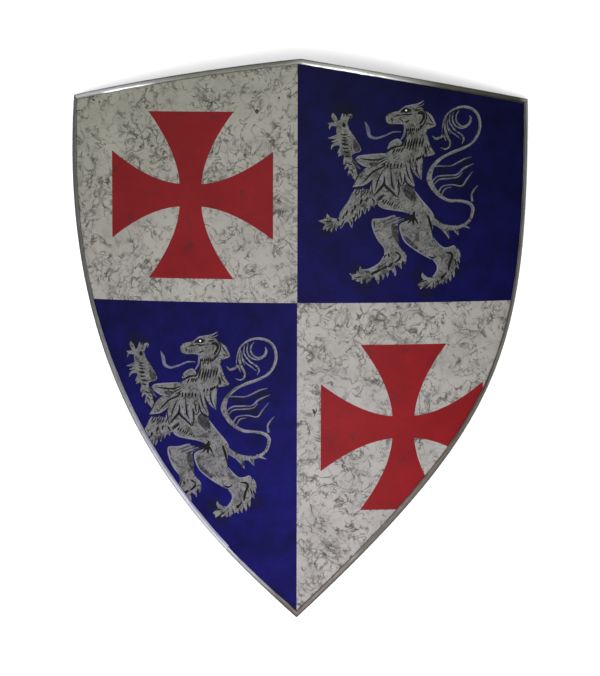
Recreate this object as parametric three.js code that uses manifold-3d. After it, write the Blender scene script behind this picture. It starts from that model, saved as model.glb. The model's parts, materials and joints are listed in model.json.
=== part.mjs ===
// A painted steel heater shield, edged with strips of folded steel channel.
// It lies face up on the edges of its two sides, as a loose shield does on a floor.
// The shield is laid out flat first: s runs across the face, v up it from the line that
// quarters the painting, and n out of the face. Then it is bent about its long axis.
import * as THREE from 'three';
import { mergeVertices } from 'three/addons/utils/BufferGeometryUtils.js';
import Module from 'manifold-3d';

const wasm = await Module();
wasm.setup();

// Driving dimensions, in millimetres, degrees and shares. Left and right are as seen from
// the front: the outline was cut by hand, and its two sides differ.
const bendRadius = 587;
const plateThickness = 1.5;
const peakHeight = 264;
const peakShift = 3;
const tipDepth = 346;

const leftHalfWidth = 257;
const leftCornerHeight = 224;
const leftCornerInset = 2.5;
const leftShoulderHeight = 162;
const leftTopCrown = 3;
const leftTipRise = 42.3;
const leftShoulderFullness = 0.558;
const leftTipFullness = 0.239;

const rightHalfWidth = 259;
const rightCornerHeight = 220.5;
const rightCornerInset = 0.4;
const rightShoulderHeight = 194.5;
const rightTopCrown = 0.4;
const rightTipRise = 43.7;
const rightShoulderFullness = 0.484;
const rightTipFullness = 0.577;

// The edging: the strips' sheet, their clearance to the plate, and the widths of their
// flanges where they start, are widest and end.
const rimSheet = 0.9;
const fitGap = 0.3;
const seamGap = 0.4;
const lapFromTip = 108;
const topRimWidth = 6;
const leftRimCornerWidth = 4;
const leftRimTaper = 45;
const leftRimWidth = 8.4;
const leftRimLapWidth = 6.3;
const rightRimWidth = 5.4;
const rightRimBellyWidth = 7;
const rightRimTipWidth = 6;
const rightRimLapWidth = 5;

// The keyhole hanger on the back.
const hangerHeight = 150;
const hangerSheet = 2;
const hangerWidth = 24;
const hangerBridge = 44;
const hangerFoot = 16;
const hangerSlope = 10;
const hangerStandoff = 12;
const hangerGap = 0.4;
const keyholeHead = 9;
const keyholeShank = 4.6;
const keyholeRise = 9;

// How finely the curves are cut.
const pathStep = 14;
const channelSteps = 4;
const leastStrip = 0.8;
const roundSteps = 16;

const channelOuter = plateThickness / 2 + fitGap + rimSheet;
const channelInner = channelOuter - rimSheet;

const point = (s, v) => new THREE.Vector2(s, v);

// Bends a point of the flat layout about the shield's long axis.
function bend(s, v, n) {
  const angle = s / bendRadius;
  const reach = bendRadius + n;
  return new THREE.Vector3(reach * Math.sin(angle), v, reach * Math.cos(angle) - bendRadius);
}

// A closed body from points and triangles, turned so that its faces point out.
function closedBody(points, triangles) {
  let volume = 0;
  for (const [a, b, c] of triangles) {
    volume += points[a].dot(points[b].clone().cross(points[c]));
  }
  const faces = volume > 0 ? triangles : triangles.map(([a, b, c]) => [a, c, b]);
  const geometry = new THREE.BufferGeometry();
  geometry.setAttribute('position',
    new THREE.Float32BufferAttribute(points.flatMap((p) => [p.x, p.y, p.z]), 3));
  geometry.setIndex(faces.flat());
  geometry.computeVertexNormals();
  return geometry;
}

// Points at even steps along a curve, between two distances measured along it.
function evenPoints(curve, from, to) {
  const length = curve.getLength();
  const count = Math.max(2, Math.round((to - from) / pathStep));
  const share = (k) => Math.min(1, (from + (to - from) * k / count) / length);
  return Array.from({ length: count + 1 }, (_, k) => curve.getPointAt(share(k)));
}

// A top edge, from a corner to the peak: a shallow curve that stands out by its crown.
function topCurve(corner, crown) {
  const peak = point(peakShift, peakHeight);
  const along = peak.clone().sub(corner).normalize();
  const out = point(-along.y, along.x).multiplyScalar(Math.sign(along.x) * 2 * crown);
  const middle = corner.clone().add(peak).multiplyScalar(0.5).add(out);
  return new THREE.QuadraticBezierCurve(corner, middle, peak);
}

// A side edge, from a corner down to the tip: nearly straight to the shoulder, then one
// full curve that meets the tip at its own rise.
function sideCurve(corner, side, halfWidth, shoulderHeight, tipRise, shoulderFullness, tipFullness) {
  const drop = shoulderHeight + tipDepth;
  const rise = THREE.MathUtils.degToRad(tipRise);
  const shoulder = point(side * halfWidth, shoulderHeight);
  const tip = point(0, -tipDepth);
  const shoulderHandle = point(shoulder.x, shoulder.y - shoulderFullness * drop);
  const tipHandle = point(side * Math.cos(rise), Math.sin(rise)).multiplyScalar(tipFullness * drop);
  const curve = new THREE.CurvePath();
  const above = point(shoulder.x, (corner.y + shoulder.y) / 2);
  curve.add(new THREE.QuadraticBezierCurve(corner, above, shoulder));
  curve.add(new THREE.CubicBezierCurve(shoulder, shoulderHandle, tipHandle.add(tip), tip));
  return curve;
}

// The whole outline, clockwise from the top left corner, and where its corners fall.
function outline() {
  const leftCorner = point(-leftHalfWidth + leftCornerInset, leftCornerHeight);
  const rightCorner = point(rightHalfWidth - rightCornerInset, rightCornerHeight);
  const topLeft = topCurve(leftCorner, leftTopCrown);
  const topRight = topCurve(rightCorner, rightTopCrown);
  const right = sideCurve(rightCorner, 1, rightHalfWidth, rightShoulderHeight, rightTipRise,
    rightShoulderFullness, rightTipFullness);
  const left = sideCurve(leftCorner, -1, leftHalfWidth, leftShoulderHeight, leftTipRise,
    leftShoulderFullness, leftTipFullness);
  const leftLength = left.getLength();
  const lap = leftLength - lapFromTip;
  const stretches = [
    evenPoints(topLeft, 0, topLeft.getLength()),
    evenPoints(topRight, 0, topRight.getLength()).reverse(),
    evenPoints(right, 0, right.getLength()),
    evenPoints(left, lap, leftLength).reverse(),
    evenPoints(left, 0, lap).reverse(),
  ];
  const points = stretches.flatMap((stretch) => stretch.slice(0, -1));
  const ends = [];
  let count = 0;
  for (const stretch of stretches) {
    ends.push(count);
    count += stretch.length - 1;
  }
  const [leftCornerAt, peakAt, rightCornerAt, tipAt, lapAt] = ends;
  return { points, leftCornerAt, peakAt, rightCornerAt, tipAt, lapAt, closeAt: count };
}

const edge = outline();
const edgePoint = (k) => edge.points[k % edge.points.length];
const edgeAlong = (k) => edgePoint(k + 1).clone().sub(edgePoint(k)).normalize();

// The step inwards from an outline point that is one millimetre deep on both its edges.
function inwards(k) {
  const before = edgeAlong(k + edge.points.length - 1);
  const after = edgeAlong(k);
  const sum = point(before.y + after.y, -before.x - after.x);
  return sum.divideScalar(1 + before.dot(after));
}

// The channel's section: d runs inwards from its outer edge, n towards the face.
function channelSection(width) {
  const arc = (radius) => Array.from({ length: channelSteps + 1 }, (_, k) => {
    const angle = Math.PI * (0.5 + k / channelSteps);
    return point(channelOuter + radius * Math.cos(angle), radius * Math.sin(angle));
  });
  return [point(width, channelOuter), ...arc(channelOuter), point(width, -channelOuter),
    point(width, -channelInner), ...arc(channelInner).reverse(), point(width, channelInner)];
}

// A strip of channel along the outline, with its flange width given by the distance along.
function rimStrip(from, to, widthAt) {
  const points = [];
  const triangles = [];
  const sections = [];
  let travelled = 0;
  for (let k = from; k <= to; k += 1) {
    const start = edgePoint(k).clone();
    if (k > from) travelled += start.distanceTo(edgePoint(k - 1));
    if (k === from) start.addScaledVector(edgeAlong(k), seamGap / 2);
    if (k === to) start.addScaledVector(edgeAlong(k - 1), -seamGap / 2);
    const step = inwards(k % edge.points.length);
    const section = channelSection(widthAt(travelled));
    sections.push(section);
    for (const { x: d, y: n } of section) {
      points.push(bend(start.x + step.x * d, start.y + step.y * d, n));
    }
  }
  const size = sections[0].length;
  for (let k = 0; k < sections.length - 1; k += 1) {
    for (let j = 0; j < size; j += 1) {
      const a = k * size + j;
      const b = k * size + (j + 1) % size;
      triangles.push([a, b, b + size], [a, b + size, a + size]);
    }
  }
  const last = (sections.length - 1) * size;
  for (const [a, b, c] of THREE.ShapeUtils.triangulateShape(sections[0], [])) {
    triangles.push([a, c, b]);
  }
  for (const [a, b, c] of THREE.ShapeUtils.triangulateShape(sections.at(-1), [])) {
    triangles.push([last + a, last + b, last + c]);
  }
  return closedBody(points, triangles);
}

// The value at a place between stops, each a place and its value.
function between(place, stops) {
  for (let k = 1; k < stops.length; k += 1) {
    const [start, startValue] = stops[k - 1];
    const [end, endValue] = stops[k];
    if (place <= end) {
      const share = Math.max(0, (place - start) / (end - start));
      return startValue + (endValue - startValue) * share;
    }
  }
  return stops.at(-1)[1];
}

// The distance along the outline from one of its points to another.
function edgeLength(from, to) {
  let length = 0;
  for (let k = from; k < to; k += 1) length += edgePoint(k).distanceTo(edgePoint(k + 1));
  return length;
}

function topRim() {
  return rimStrip(edge.leftCornerAt, edge.rightCornerAt, () => topRimWidth);
}

// From the top right corner down that side, round the tip and up to the lap.
function rightRim() {
  const tipAt = edgeLength(edge.rightCornerAt, edge.tipAt);
  const lapAt = tipAt + edgeLength(edge.tipAt, edge.lapAt);
  const stops = [[tipAt * 0.5, rightRimWidth], [tipAt * 0.7, rightRimBellyWidth],
    [tipAt, rightRimTipWidth], [lapAt, rightRimLapWidth]];
  return rimStrip(edge.rightCornerAt, edge.lapAt, (along) => between(along, stops));
}

// From the lap up the left side to the top left corner.
function leftRim() {
  const length = edgeLength(edge.lapAt, edge.closeAt);
  const stops = [[0, leftRimLapWidth], [length * 0.5, leftRimWidth],
    [length - leftRimTaper, leftRimWidth], [length, leftRimCornerWidth]];
  return rimStrip(edge.lapAt, edge.closeAt, (along) => between(along, stops));
}

// Where an upright line crosses a closed outline: its lowest and highest point.
function crossing(loop, s) {
  const heights = [];
  loop.forEach((p, k) => {
    const q = loop[(k + 1) % loop.length];
    if ((p.x - s) * (q.x - s) <= 0 && p.x !== q.x) {
      heights.push(p.y + (q.y - p.y) * (s - p.x) / (q.x - p.x));
    }
  });
  return [Math.min(...heights), Math.max(...heights)];
}

// The plate: its edge stops where the channel's fold begins, and it is cut into upright
// strips, so that each facet of the bent sheet is flat.
function plate() {
  const loop = edge.points.map((p, k) => p.clone().addScaledVector(inwards(k), channelOuter));
  const across = loop.map((p) => p.x);
  const nip = leastStrip / 4;
  const stations = [Math.min(...across) + nip, Math.max(...across) - nip];
  const corners = [edge.leftCornerAt, edge.peakAt, edge.rightCornerAt, edge.tipAt];
  for (const s of [...corners.map((k) => across[k]), ...across]) {
    if (stations.every((other) => Math.abs(other - s) > leastStrip)) stations.push(s);
  }
  const inside = stations.filter((s) => s >= stations[0] && s <= stations[1]);
  inside.sort((a, b) => a - b);
  const points = [];
  const triangles = [];
  const half = plateThickness / 2;
  for (const s of inside) {
    const [low, high] = crossing(loop, s);
    points.push(bend(s, low, half), bend(s, high, half), bend(s, high, -half), bend(s, low, -half));
  }
  const last = points.length - 4;
  for (let a = 0; a < last; a += 4) {
    for (let j = 0; j < 4; j += 1) {
      const b = a + (j + 1) % 4;
      triangles.push([a + j, b, b + 4], [a + j, b + 4, a + j + 4]);
    }
  }
  triangles.push([0, 2, 1], [0, 3, 2], [last, last + 1, last + 2], [last, last + 2, last + 3]);
  return closedBody(points, triangles);
}

// A solid for cutting, from a geometry whose shared points are merged.
function toSolid(geometry) {
  const bare = geometry.index ? geometry.toNonIndexed() : geometry.clone();
  bare.deleteAttribute('normal');
  bare.deleteAttribute('uv');
  const merged = mergeVertices(bare, 1e-4);
  return new wasm.Manifold(new wasm.Mesh({
    numProp: 3,
    vertProperties: new Float32Array(merged.attributes.position.array),
    triVerts: new Uint32Array(merged.index.array),
  }));
}

function fromSolid(solid) {
  const { numProp, vertProperties, triVerts } = solid.getMesh();
  const geometry = new THREE.BufferGeometry();
  const positions = [];
  for (let k = 0; k < vertProperties.length; k += numProp) {
    positions.push(vertProperties[k], vertProperties[k + 1], vertProperties[k + 2]);
  }
  geometry.setAttribute('position', new THREE.Float32BufferAttribute(positions, 3));
  geometry.setIndex(Array.from(triVerts));
  geometry.computeVertexNormals();
  return geometry;
}

// The keyhole, for a screw's head to enter and its shank to slide up in.
function keyhole() {
  const head = keyholeHead / 2;
  const shank = keyholeShank / 2;
  const shape = new THREE.Shape();
  const meet = Math.asin(Math.min(1, shank / head));
  shape.absarc(0, 0, head, Math.PI / 2 + meet, Math.PI * 2.5 - meet, false);
  shape.lineTo(shank, head + keyholeRise);
  shape.absarc(0, head + keyholeRise, shank, 0, Math.PI, false);
  shape.closePath();
  const depth = hangerSheet * 4;
  const cutter = new THREE.ExtrudeGeometry(shape,
    { depth, bevelEnabled: false, curveSegments: roundSteps });
  return cutter.translate(0, 0, -depth / 2);
}

// The hanger: a strap bent into a bridge, with a foot at each end against the plate's back.
// Its side view is drawn in height and depth behind the plate, then carried across its width.
function hanger() {
  const bridge = hangerBridge / 2;
  const slopeEnd = bridge + hangerSlope;
  const footEnd = slopeEnd + hangerFoot;
  const near = plateThickness / 2 + hangerGap;
  const far = near + hangerStandoff;
  const lean = hangerSheet * Math.tan(Math.atan2(hangerStandoff, hangerSlope) / 2);
  const rear = [[-footEnd, near + hangerSheet], [-slopeEnd - lean, near + hangerSheet],
    [-bridge - lean, far + hangerSheet], [bridge + lean, far + hangerSheet],
    [slopeEnd + lean, near + hangerSheet], [footEnd, near + hangerSheet]];
  const front = [[footEnd, near], [slopeEnd, near], [bridge, far], [-bridge, far],
    [-slopeEnd, near], [-footEnd, near]];
  const side = new THREE.Shape([...rear, ...front].map(([v, depth]) => point(v, -depth)));
  const strap = new THREE.ExtrudeGeometry(side, { depth: hangerWidth, bevelEnabled: false });
  const turn = new THREE.Matrix4().set(
    0, 0, 1, -hangerWidth / 2,
    1, 0, 0, 0,
    0, 1, 0, 0,
    0, 0, 0, 1);
  strap.applyMatrix4(turn);
  const cutter = keyhole().translate(0, -keyholeRise / 2, -far - hangerSheet / 2);
  return fromSolid(toSolid(strap).subtract(toSolid(cutter)));
}

function piece(name, geometry, color, roughness, metalness) {
  const material = new THREE.MeshStandardMaterial({ color, roughness, metalness });
  const mesh = new THREE.Mesh(geometry, material);
  mesh.name = name;
  return mesh;
}

// The points of all pieces and the centre of mass of their common metal.
function survey(meshes) {
  const points = [];
  const centre = new THREE.Vector3();
  let total = 0;
  for (const mesh of meshes) {
    const place = mesh.geometry.attributes.position;
    const own = Array.from({ length: place.count }, (_, k) =>
      new THREE.Vector3().fromBufferAttribute(place, k).add(mesh.position));
    const index = mesh.geometry.index.array;
    for (let k = 0; k < index.length; k += 3) {
      const [a, b, c] = [own[index[k]], own[index[k + 1]], own[index[k + 2]]];
      const volume = a.dot(b.clone().cross(c)) / 6;
      centre.addScaledVector(a.clone().add(b).add(c), volume / 4);
      total += volume;
    }
    points.push(...own);
  }
  return { points, centre: centre.divideScalar(total) };
}

// The lowest of the turned points on each side of the shield.
function contacts(points, turned) {
  const lowest = { left: null, right: null };
  for (const p of points) {
    const q = p.clone().applyMatrix4(turned);
    const half = p.x < 0 ? 'left' : 'right';
    if (!lowest[half] || q.z < lowest[half].z) lowest[half] = q;
  }
  return lowest;
}

// How the shield comes to rest on its two curved side edges: it leans over until the line
// between the two places that touch the floor runs under its centre of mass.
function restTurn(meshes) {
  const { points, centre } = survey(meshes);
  const reach = Math.max(leftHalfWidth, rightHalfWidth) * 0.6;
  const outer = points.filter((p) => Math.abs(p.x) > reach);
  const turned = new THREE.Matrix4();
  const turn = new THREE.Euler();
  let steep = THREE.MathUtils.degToRad(20);
  let flat = 0;
  for (let round = 0; round < 30; round += 1) {
    turn.x = (steep + flat) / 2;
    let touch;
    for (let level = 0; level < 8; level += 1) {
      turned.makeRotationFromEuler(turn);
      touch = contacts(outer, turned);
      turn.y += Math.atan2(touch.right.z - touch.left.z, touch.right.x - touch.left.x);
    }
    const { left, right } = touch;
    const mass = centre.clone().applyMatrix4(turned);
    const share = (mass.x - left.x) / (right.x - left.x);
    if (left.y + (right.y - left.y) * share > mass.y) flat = turn.x;
    else steep = turn.x;
  }
  return turn;
}

const painted = [0x8f8c8a, 0.5, 0.25];
const polished = [0x9a9b9d, 0.3, 1];
const dull = [0x6c6e70, 0.45, 1];

const hangerMesh = piece('hanger', hanger(), ...dull);
hangerMesh.position.y = hangerHeight;
const meshes = [
  piece('shield_plate', plate(), ...painted),
  piece('rim_top', topRim(), ...polished),
  piece('rim_left', leftRim(), ...polished),
  piece('rim_right', rightRim(), ...polished),
  hangerMesh,
];

// Laid down at rest, with the origin on the floor under the middle of the shield's box.
const shield = new THREE.Group();
shield.add(...meshes);
shield.rotation.copy(restTurn(meshes));
const box = new THREE.Box3().setFromObject(shield, true);
const middle = box.getCenter(new THREE.Vector3());
shield.position.set(-middle.x, -middle.y, -box.min.z);

const model = new THREE.Group();
model.add(shield);

export default model;
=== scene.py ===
import json
import math

import bmesh
import bpy
import numpy as np
from mathutils import Matrix, Vector
from mathutils.geometry import delaunay_2d_cdt


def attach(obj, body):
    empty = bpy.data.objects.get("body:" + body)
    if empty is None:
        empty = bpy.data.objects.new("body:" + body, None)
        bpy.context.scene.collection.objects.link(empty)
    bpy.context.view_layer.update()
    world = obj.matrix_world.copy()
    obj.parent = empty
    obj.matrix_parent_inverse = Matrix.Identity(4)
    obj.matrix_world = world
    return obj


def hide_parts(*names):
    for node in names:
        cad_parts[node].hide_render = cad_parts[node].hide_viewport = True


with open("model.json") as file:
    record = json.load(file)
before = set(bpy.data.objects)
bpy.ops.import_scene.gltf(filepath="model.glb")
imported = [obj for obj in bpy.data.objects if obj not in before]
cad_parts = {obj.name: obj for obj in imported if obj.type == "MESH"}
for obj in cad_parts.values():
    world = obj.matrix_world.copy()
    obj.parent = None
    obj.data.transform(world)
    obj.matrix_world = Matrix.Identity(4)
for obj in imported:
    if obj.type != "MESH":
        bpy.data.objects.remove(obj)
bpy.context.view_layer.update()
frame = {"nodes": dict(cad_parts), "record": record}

bl_info = {
    "name": "Heater shield",
    "version": (1, 0, 0),
    "blender": (4, 5, 0),
    "location": "View3D > Sidebar > Shield",
    "description": "Builds a quartered steel shield with painted crosses and lions",
    "category": "Add Mesh",
}

# The photograph's size in pixels, and the pieces' own UV maps, in flat metres.
PICTURE_WIDTH = 600
PICTURE_HEIGHT = 676
FLAT_MAP = "flat"
STRIP_MAP = "strip"

# The steps of the outline, and the distance between the upright cuts of the plate's skin.
OUTLINE_STEP = 0.003
SKIN_STEP = 0.008

# The plate's paints, in the order of its material slots.
PAINTS = ("webbed_white", "deep_blue", "cross_red", "lion_silver", "lion_faded", "lion_shade",
          "lion_edge", "ink", "glint", "spatter", "back_primer")


def length(name, description, default):
    """A property for a size in metres."""
    return bpy.props.FloatProperty(name=name, description=description, default=default,
                                   min=0.0, precision=5, unit="LENGTH")


def share(name, description, default):
    """A property for a plain number or share."""
    return bpy.props.FloatProperty(name=name, description=description, default=default,
                                   precision=4)


def colour(name, description, default):
    """A property for a linear colour."""
    return bpy.props.FloatVectorProperty(name=name, description=description, default=default,
                                         size=3, min=0.0, max=1.0, subtype="COLOR")


class ShieldForm(bpy.types.PropertyGroup):
    """The sheet: its bend, its outline laid out flat, and its channel edging."""
    bend_radius: length("Bend radius", "Radius of the sheet's middle about its long axis", 0.587)
    plate: length("Plate", "Thickness of the plate", 0.0015)
    peak_height: length("Peak height", "From the quartering line up to the peak", 0.264)
    peak_shift: length("Peak shift", "How far right of the middle the peak is", 0.003)
    tip_depth: length("Tip depth", "From the quartering line down to the tip", 0.346)
    left_half: length("Left half width", "Widest reach to the left", 0.257)
    left_corner: length("Left corner height", "Height of the top left corner", 0.224)
    left_inset: length("Left corner inset", "How far that corner leans in", 0.0025)
    left_shoulder: length("Left shoulder", "Where the left side is widest", 0.162)
    left_crown: length("Left top crown", "How far the left top edge swells", 0.003)
    left_rise: share("Left tip rise", "Slope at the tip, in degrees", 42.3)
    left_fullness: share("Left shoulder fullness", "Pull of the curve at the shoulder", 0.558)
    left_tip_fullness: share("Left tip fullness", "Pull of the curve at the tip", 0.239)
    right_half: length("Right half width", "Widest reach to the right", 0.259)
    right_corner: length("Right corner height", "Height of the top right corner", 0.2205)
    right_inset: length("Right corner inset", "How far that corner leans in", 0.0004)
    right_shoulder: length("Right shoulder", "Where the right side is widest", 0.1945)
    right_crown: length("Right top crown", "How far the right top edge swells", 0.0004)
    right_rise: share("Right tip rise", "Slope at the tip, in degrees", 43.7)
    right_fullness: share("Right shoulder fullness", "Pull of the curve at the shoulder", 0.484)
    right_tip_fullness: share("Right tip fullness", "Pull of the curve at the tip", 0.577)
    rim_sheet: length("Edging sheet", "Thickness of the channel's sheet", 0.0009)
    fit_gap: length("Edging gap", "Clearance of the channel to the plate", 0.0003)
    seam_gap: length("Seam gap", "Clearance between two strips of edging", 0.0004)
    lap_from_tip: length("Joint from tip", "Where the lower left joint is", 0.108)
    top_width: length("Top flange", "Width of the top strip's flange", 0.006)
    left_corner_width: length("Left flange at corner", "Flange at the top left corner", 0.004)
    left_taper: length("Left flange taper", "Length over which it widens", 0.045)
    left_upper_width: length("Left flange high", "Flange on the upper left", 0.0059)
    left_width: length("Left flange", "Flange on the left side", 0.0071)
    left_joint_width: length("Left flange at joint", "Flange above the joint", 0.0063)
    right_width: length("Right flange", "Flange on the right side", 0.0054)
    right_belly_width: length("Right flange low", "Flange on the lower right", 0.007)
    right_tip_width: length("Right flange at tip", "Flange at the tip", 0.006)
    right_joint_width: length("Right flange at joint", "Flange below the joint", 0.005)
    hanger_mount: length("Hanger mount", "Height of the hanger's mount on the face", 0.135)
    hanger_depth: length("Hanger depth", "From the plate's middle to its rear face", 0.01515)
    hanger_round: length("Hanger rounding", "Rounding of the hanger's edges", 0.0004)
    lip_wander: length("Lip wander", "How far the lips wander across the plate", 0.00022)
    lip_lift: length("Lip lift", "How far the lips rise and sink", 0.00007)


class PaintLook(bpy.types.PropertyGroup):
    """The painted face: places and sizes of the charges, and the colours."""
    cross_x: length("Cross across", "Upper cross, left of the middle", 0.1170)
    cross_y: length("Cross up", "Upper cross, above the quartering line", 0.1160)
    low_cross_x: length("Lower cross across", "Lower cross, right of the middle", 0.1166)
    low_cross_y: length("Lower cross down", "Lower cross, below the quartering line", 0.1363)
    cross_half: length("Cross half", "From a cross's middle to an arm's end", 0.0907)
    cross_arm: length("Cross arm end", "Half the width of an arm's end", 0.0478)
    cross_neck: length("Cross neck", "Half the width of an arm at the middle", 0.0123)
    lion_x: length("Lion across", "Upper lion, right of the middle", 0.1123)
    lion_y: length("Lion up", "Upper lion, above the quartering line", 0.1157)
    lion_shift_x: length("Lion shift across", "Lower lion, left of the upper one", 0.2241)
    lion_shift_y: length("Lion shift down", "Lower lion, below the upper one", 0.2511)
    lion_unit_x: length("Lion unit across", "One unit of the lion's drawing, across", 0.00111)
    lion_unit_y: length("Lion unit up", "One unit of the lion's drawing, up", 0.001085)
    white: colour("White", "Webbed white paint", (0.240, 0.2265, 0.2215))
    thread: colour("Webbing", "Threads in the white", (0.022, 0.019, 0.017))
    blue: colour("Blue", "Deep blue paint", (0.0031, 0.0025, 0.056))
    red: colour("Red", "Crosses", (0.146, 0.0052, 0.0078))
    silver: colour("Silver", "Lions", (0.113, 0.109, 0.116))
    # Painted shade: the tint that darkens every paint towards both top corners, where the light
    # falls off.
    corner_shade_tint: colour("Corner_shade", "Tint of the paint at both top corners, none near the tip",
                   (0.61, 0.635, 0.54))
    faded: colour("Faded silver", "Thin paint on the lions", (0.088, 0.084, 0.14))
    shade: colour("Shade", "Grey washes on the lions", (0.036, 0.035, 0.042))
    edge: colour("Edge", "Pale lines along the lions' edges", (0.14, 0.133, 0.176))
    ink: colour("Ink", "Lines on the lions", (0.003, 0.003, 0.004))
    spatter: colour("Spatter", "Drips and spatters on the white", (0.036, 0.034, 0.03))
    primer: colour("Primer", "Back of the plate", (0.085, 0.085, 0.088))


class StageLook(bpy.types.PropertyGroup):
    """The camera's place, found from the photograph, and the studio around it."""
    pixel: length("Pixel", "Size of a photograph pixel at the shield", 0.00108468)
    focal: share("Focal length", "In pixels of the photograph", 3000.0)
    yaw: share("Yaw", "Turn of the shield about its long axis, in radians", 0.0235)
    pitch: share("Pitch", "Lean of its top towards the camera, in radians", 0.0979)
    roll: share("Roll", "Turn in the picture, in radians", -0.0022)
    origin_x: share("Origin across", "Pixel where the quartering lines cross", 297.21)
    origin_y: share("Origin down", "Pixel where the quartering lines cross", 303.04)
    floor: colour("Floor", "Plain pale floor", (0.95, 0.95, 0.95))
    ambient: share("Ambient", "Strength of the light from overhead", 1.48)
    skirt: share("Skirt", "Strength of the light from low down, as a share of it", 0.45)
    window: share("Window", "Power of the large soft light at the left, in watts", 20.0)
    lamp: share("Lamp", "Power of the soft light over the tip, in watts", 24.0)
    panel: share("Panel", "Power of the small soft light overhead, in watts", 2.6)


def settings():
    """The three groups of properties: form, paint and stage."""
    scene = bpy.context.scene
    return scene.shield_form, scene.shield_paint, scene.shield_stage


def laid_down():
    """The turn and shift from the shield's own space to the floor frame. The hanger's mount is
    square to the shield, so its normal gives the two angles of the lean."""
    form, _, _ = settings()
    mount = frame["record"]["mounts"][0]
    up = -Vector(mount["axis"]).normalized()
    lean = math.atan2(-up.y, up.z)
    roll = math.asin(up.x)
    turn = Matrix.Rotation(lean, 4, "X") @ Matrix.Rotation(roll, 4, "Y")
    own = Vector((0.0, form.hanger_mount, -form.hanger_depth))
    return Matrix.Translation(Vector(mount["pos_m"]) - turn @ own) @ turn


def bent(s, v, n):
    """Bends flat places: the angle is s over the bend radius, and n adds to the radius."""
    form, _, _ = settings()
    radius = form.bend_radius
    angle = s / radius
    points = np.stack([(radius + n) * np.sin(angle), v + 0.0 * angle,
                       (radius + n) * np.cos(angle) - radius], axis=-1)
    place = np.array(laid_down())
    return points @ place[:3, :3].T + place[:3, 3]


def bent_normal(s, out):
    """The sheet's normal at s, in the floor frame: the radius' direction, times out."""
    form, _, _ = settings()
    angle = s / form.bend_radius
    normal = np.stack([np.sin(angle), 0.0 * angle, np.cos(angle)], axis=-1) * out
    return normal @ np.array(laid_down())[:3, :3].T


def bezier(control, count=240):
    """A Bezier curve: the sum of its control points, each times its Bernstein weight."""
    t = np.linspace(0.0, 1.0, count)
    order = len(control) - 1
    weights = [math.comb(order, k) * t**k * (1 - t)**(order - k) for k in range(order + 1)]
    return sum(np.outer(w, c) for w, c in zip(weights, np.asarray(control, float)))


def distances(points):
    """How far along a polyline each of its points is."""
    return np.concatenate([[0.0], np.cumsum(np.linalg.norm(np.diff(points, axis=0), axis=1))])


def evenly(points, step):
    """Even steps along a polyline, by interpolating its places over their distance along."""
    along = distances(points)
    places = np.linspace(0.0, along[-1], max(2, round(along[-1] / step)) + 1)
    return np.stack([np.interp(places, along, points[:, k]) for k in (0, 1)], axis=-1)


def top_edge(corner, crown):
    """A top edge from a corner to the peak: a parabola that stands out by its crown."""
    form, _, _ = settings()
    peak = np.array([form.peak_shift, form.peak_height])
    along = (peak - corner) / np.linalg.norm(peak - corner)
    out = np.array([-along[1], along[0]]) * np.sign(along[0]) * 2 * crown
    return bezier([corner, (corner + peak) / 2 + out, peak])


def side_edge(corner, side, half, shoulder, rise, fullness, tip_fullness):
    """A side edge from a corner to the tip: a parabola to the shoulder, then a cubic whose
    handles are shares of the drop from shoulder to tip."""
    form, _, _ = settings()
    drop = shoulder + form.tip_depth
    slope = math.radians(rise)
    start = np.array([side * half, shoulder])
    tip = np.array([0.0, -form.tip_depth])
    above = np.array([start[0], (corner[1] + shoulder) / 2])
    down = start - np.array([0.0, fullness * drop])
    back = tip + np.array([side * math.cos(slope), math.sin(slope)]) * tip_fullness * drop
    return np.vstack([bezier([corner, above, start])[:-1], bezier([start, down, back, tip])])


def cut_at(points, distance):
    """Splits a polyline at a distance along it."""
    along = distances(points)
    at = np.array([np.interp(distance, along, points[:, k]) for k in (0, 1)])
    k = np.searchsorted(along, distance)
    return np.vstack([points[:k], at]), np.vstack([at, points[k:]])


def outline(step):
    """The outline clockwise from the top left corner, in even steps, and where the corner,
    peak, corner, tip, joint and end fall in it."""
    form, _, _ = settings()
    left_corner = np.array([-form.left_half + form.left_inset, form.left_corner])
    right_corner = np.array([form.right_half - form.right_inset, form.right_corner])
    right = side_edge(right_corner, 1, form.right_half, form.right_shoulder, form.right_rise,
                      form.right_fullness, form.right_tip_fullness)
    left = side_edge(left_corner, -1, form.left_half, form.left_shoulder, form.left_rise,
                     form.left_fullness, form.left_tip_fullness)
    upper, lower = cut_at(left, distances(left)[-1] - form.lap_from_tip)
    stretches = [top_edge(left_corner, form.left_crown),
                 top_edge(right_corner, form.right_crown)[::-1], right, lower[::-1], upper[::-1]]
    stretches = [evenly(stretch, step)[:-1] for stretch in stretches]
    marks = np.concatenate([[0], np.cumsum([len(stretch) for stretch in stretches])])
    return np.vstack(stretches), marks


def inward_steps(loop):
    """For each point of a clockwise loop, the mitred step that is one unit deep on both its
    edges: the sum of the edges' inward normals over one plus their cosine."""
    after = np.roll(loop, -1, axis=0) - loop
    after /= np.linalg.norm(after, axis=1, keepdims=True)
    before = np.roll(after, 1, axis=0)
    total = np.stack([before[:, 1] + after[:, 1], -before[:, 0] - after[:, 0]], axis=-1)
    return total / (1 + (before * after).sum(axis=1))[:, None]


def wave(places, sizes, seed):
    """A smooth irregular wave: sines of the given lengths with seeded phases, averaged."""
    phases = np.random.default_rng(seed).uniform(0, 2 * math.pi, len(sizes))
    return sum(np.sin(2 * math.pi * places / size + phase)
               for size, phase in zip(sizes, phases)) / len(sizes)


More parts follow.
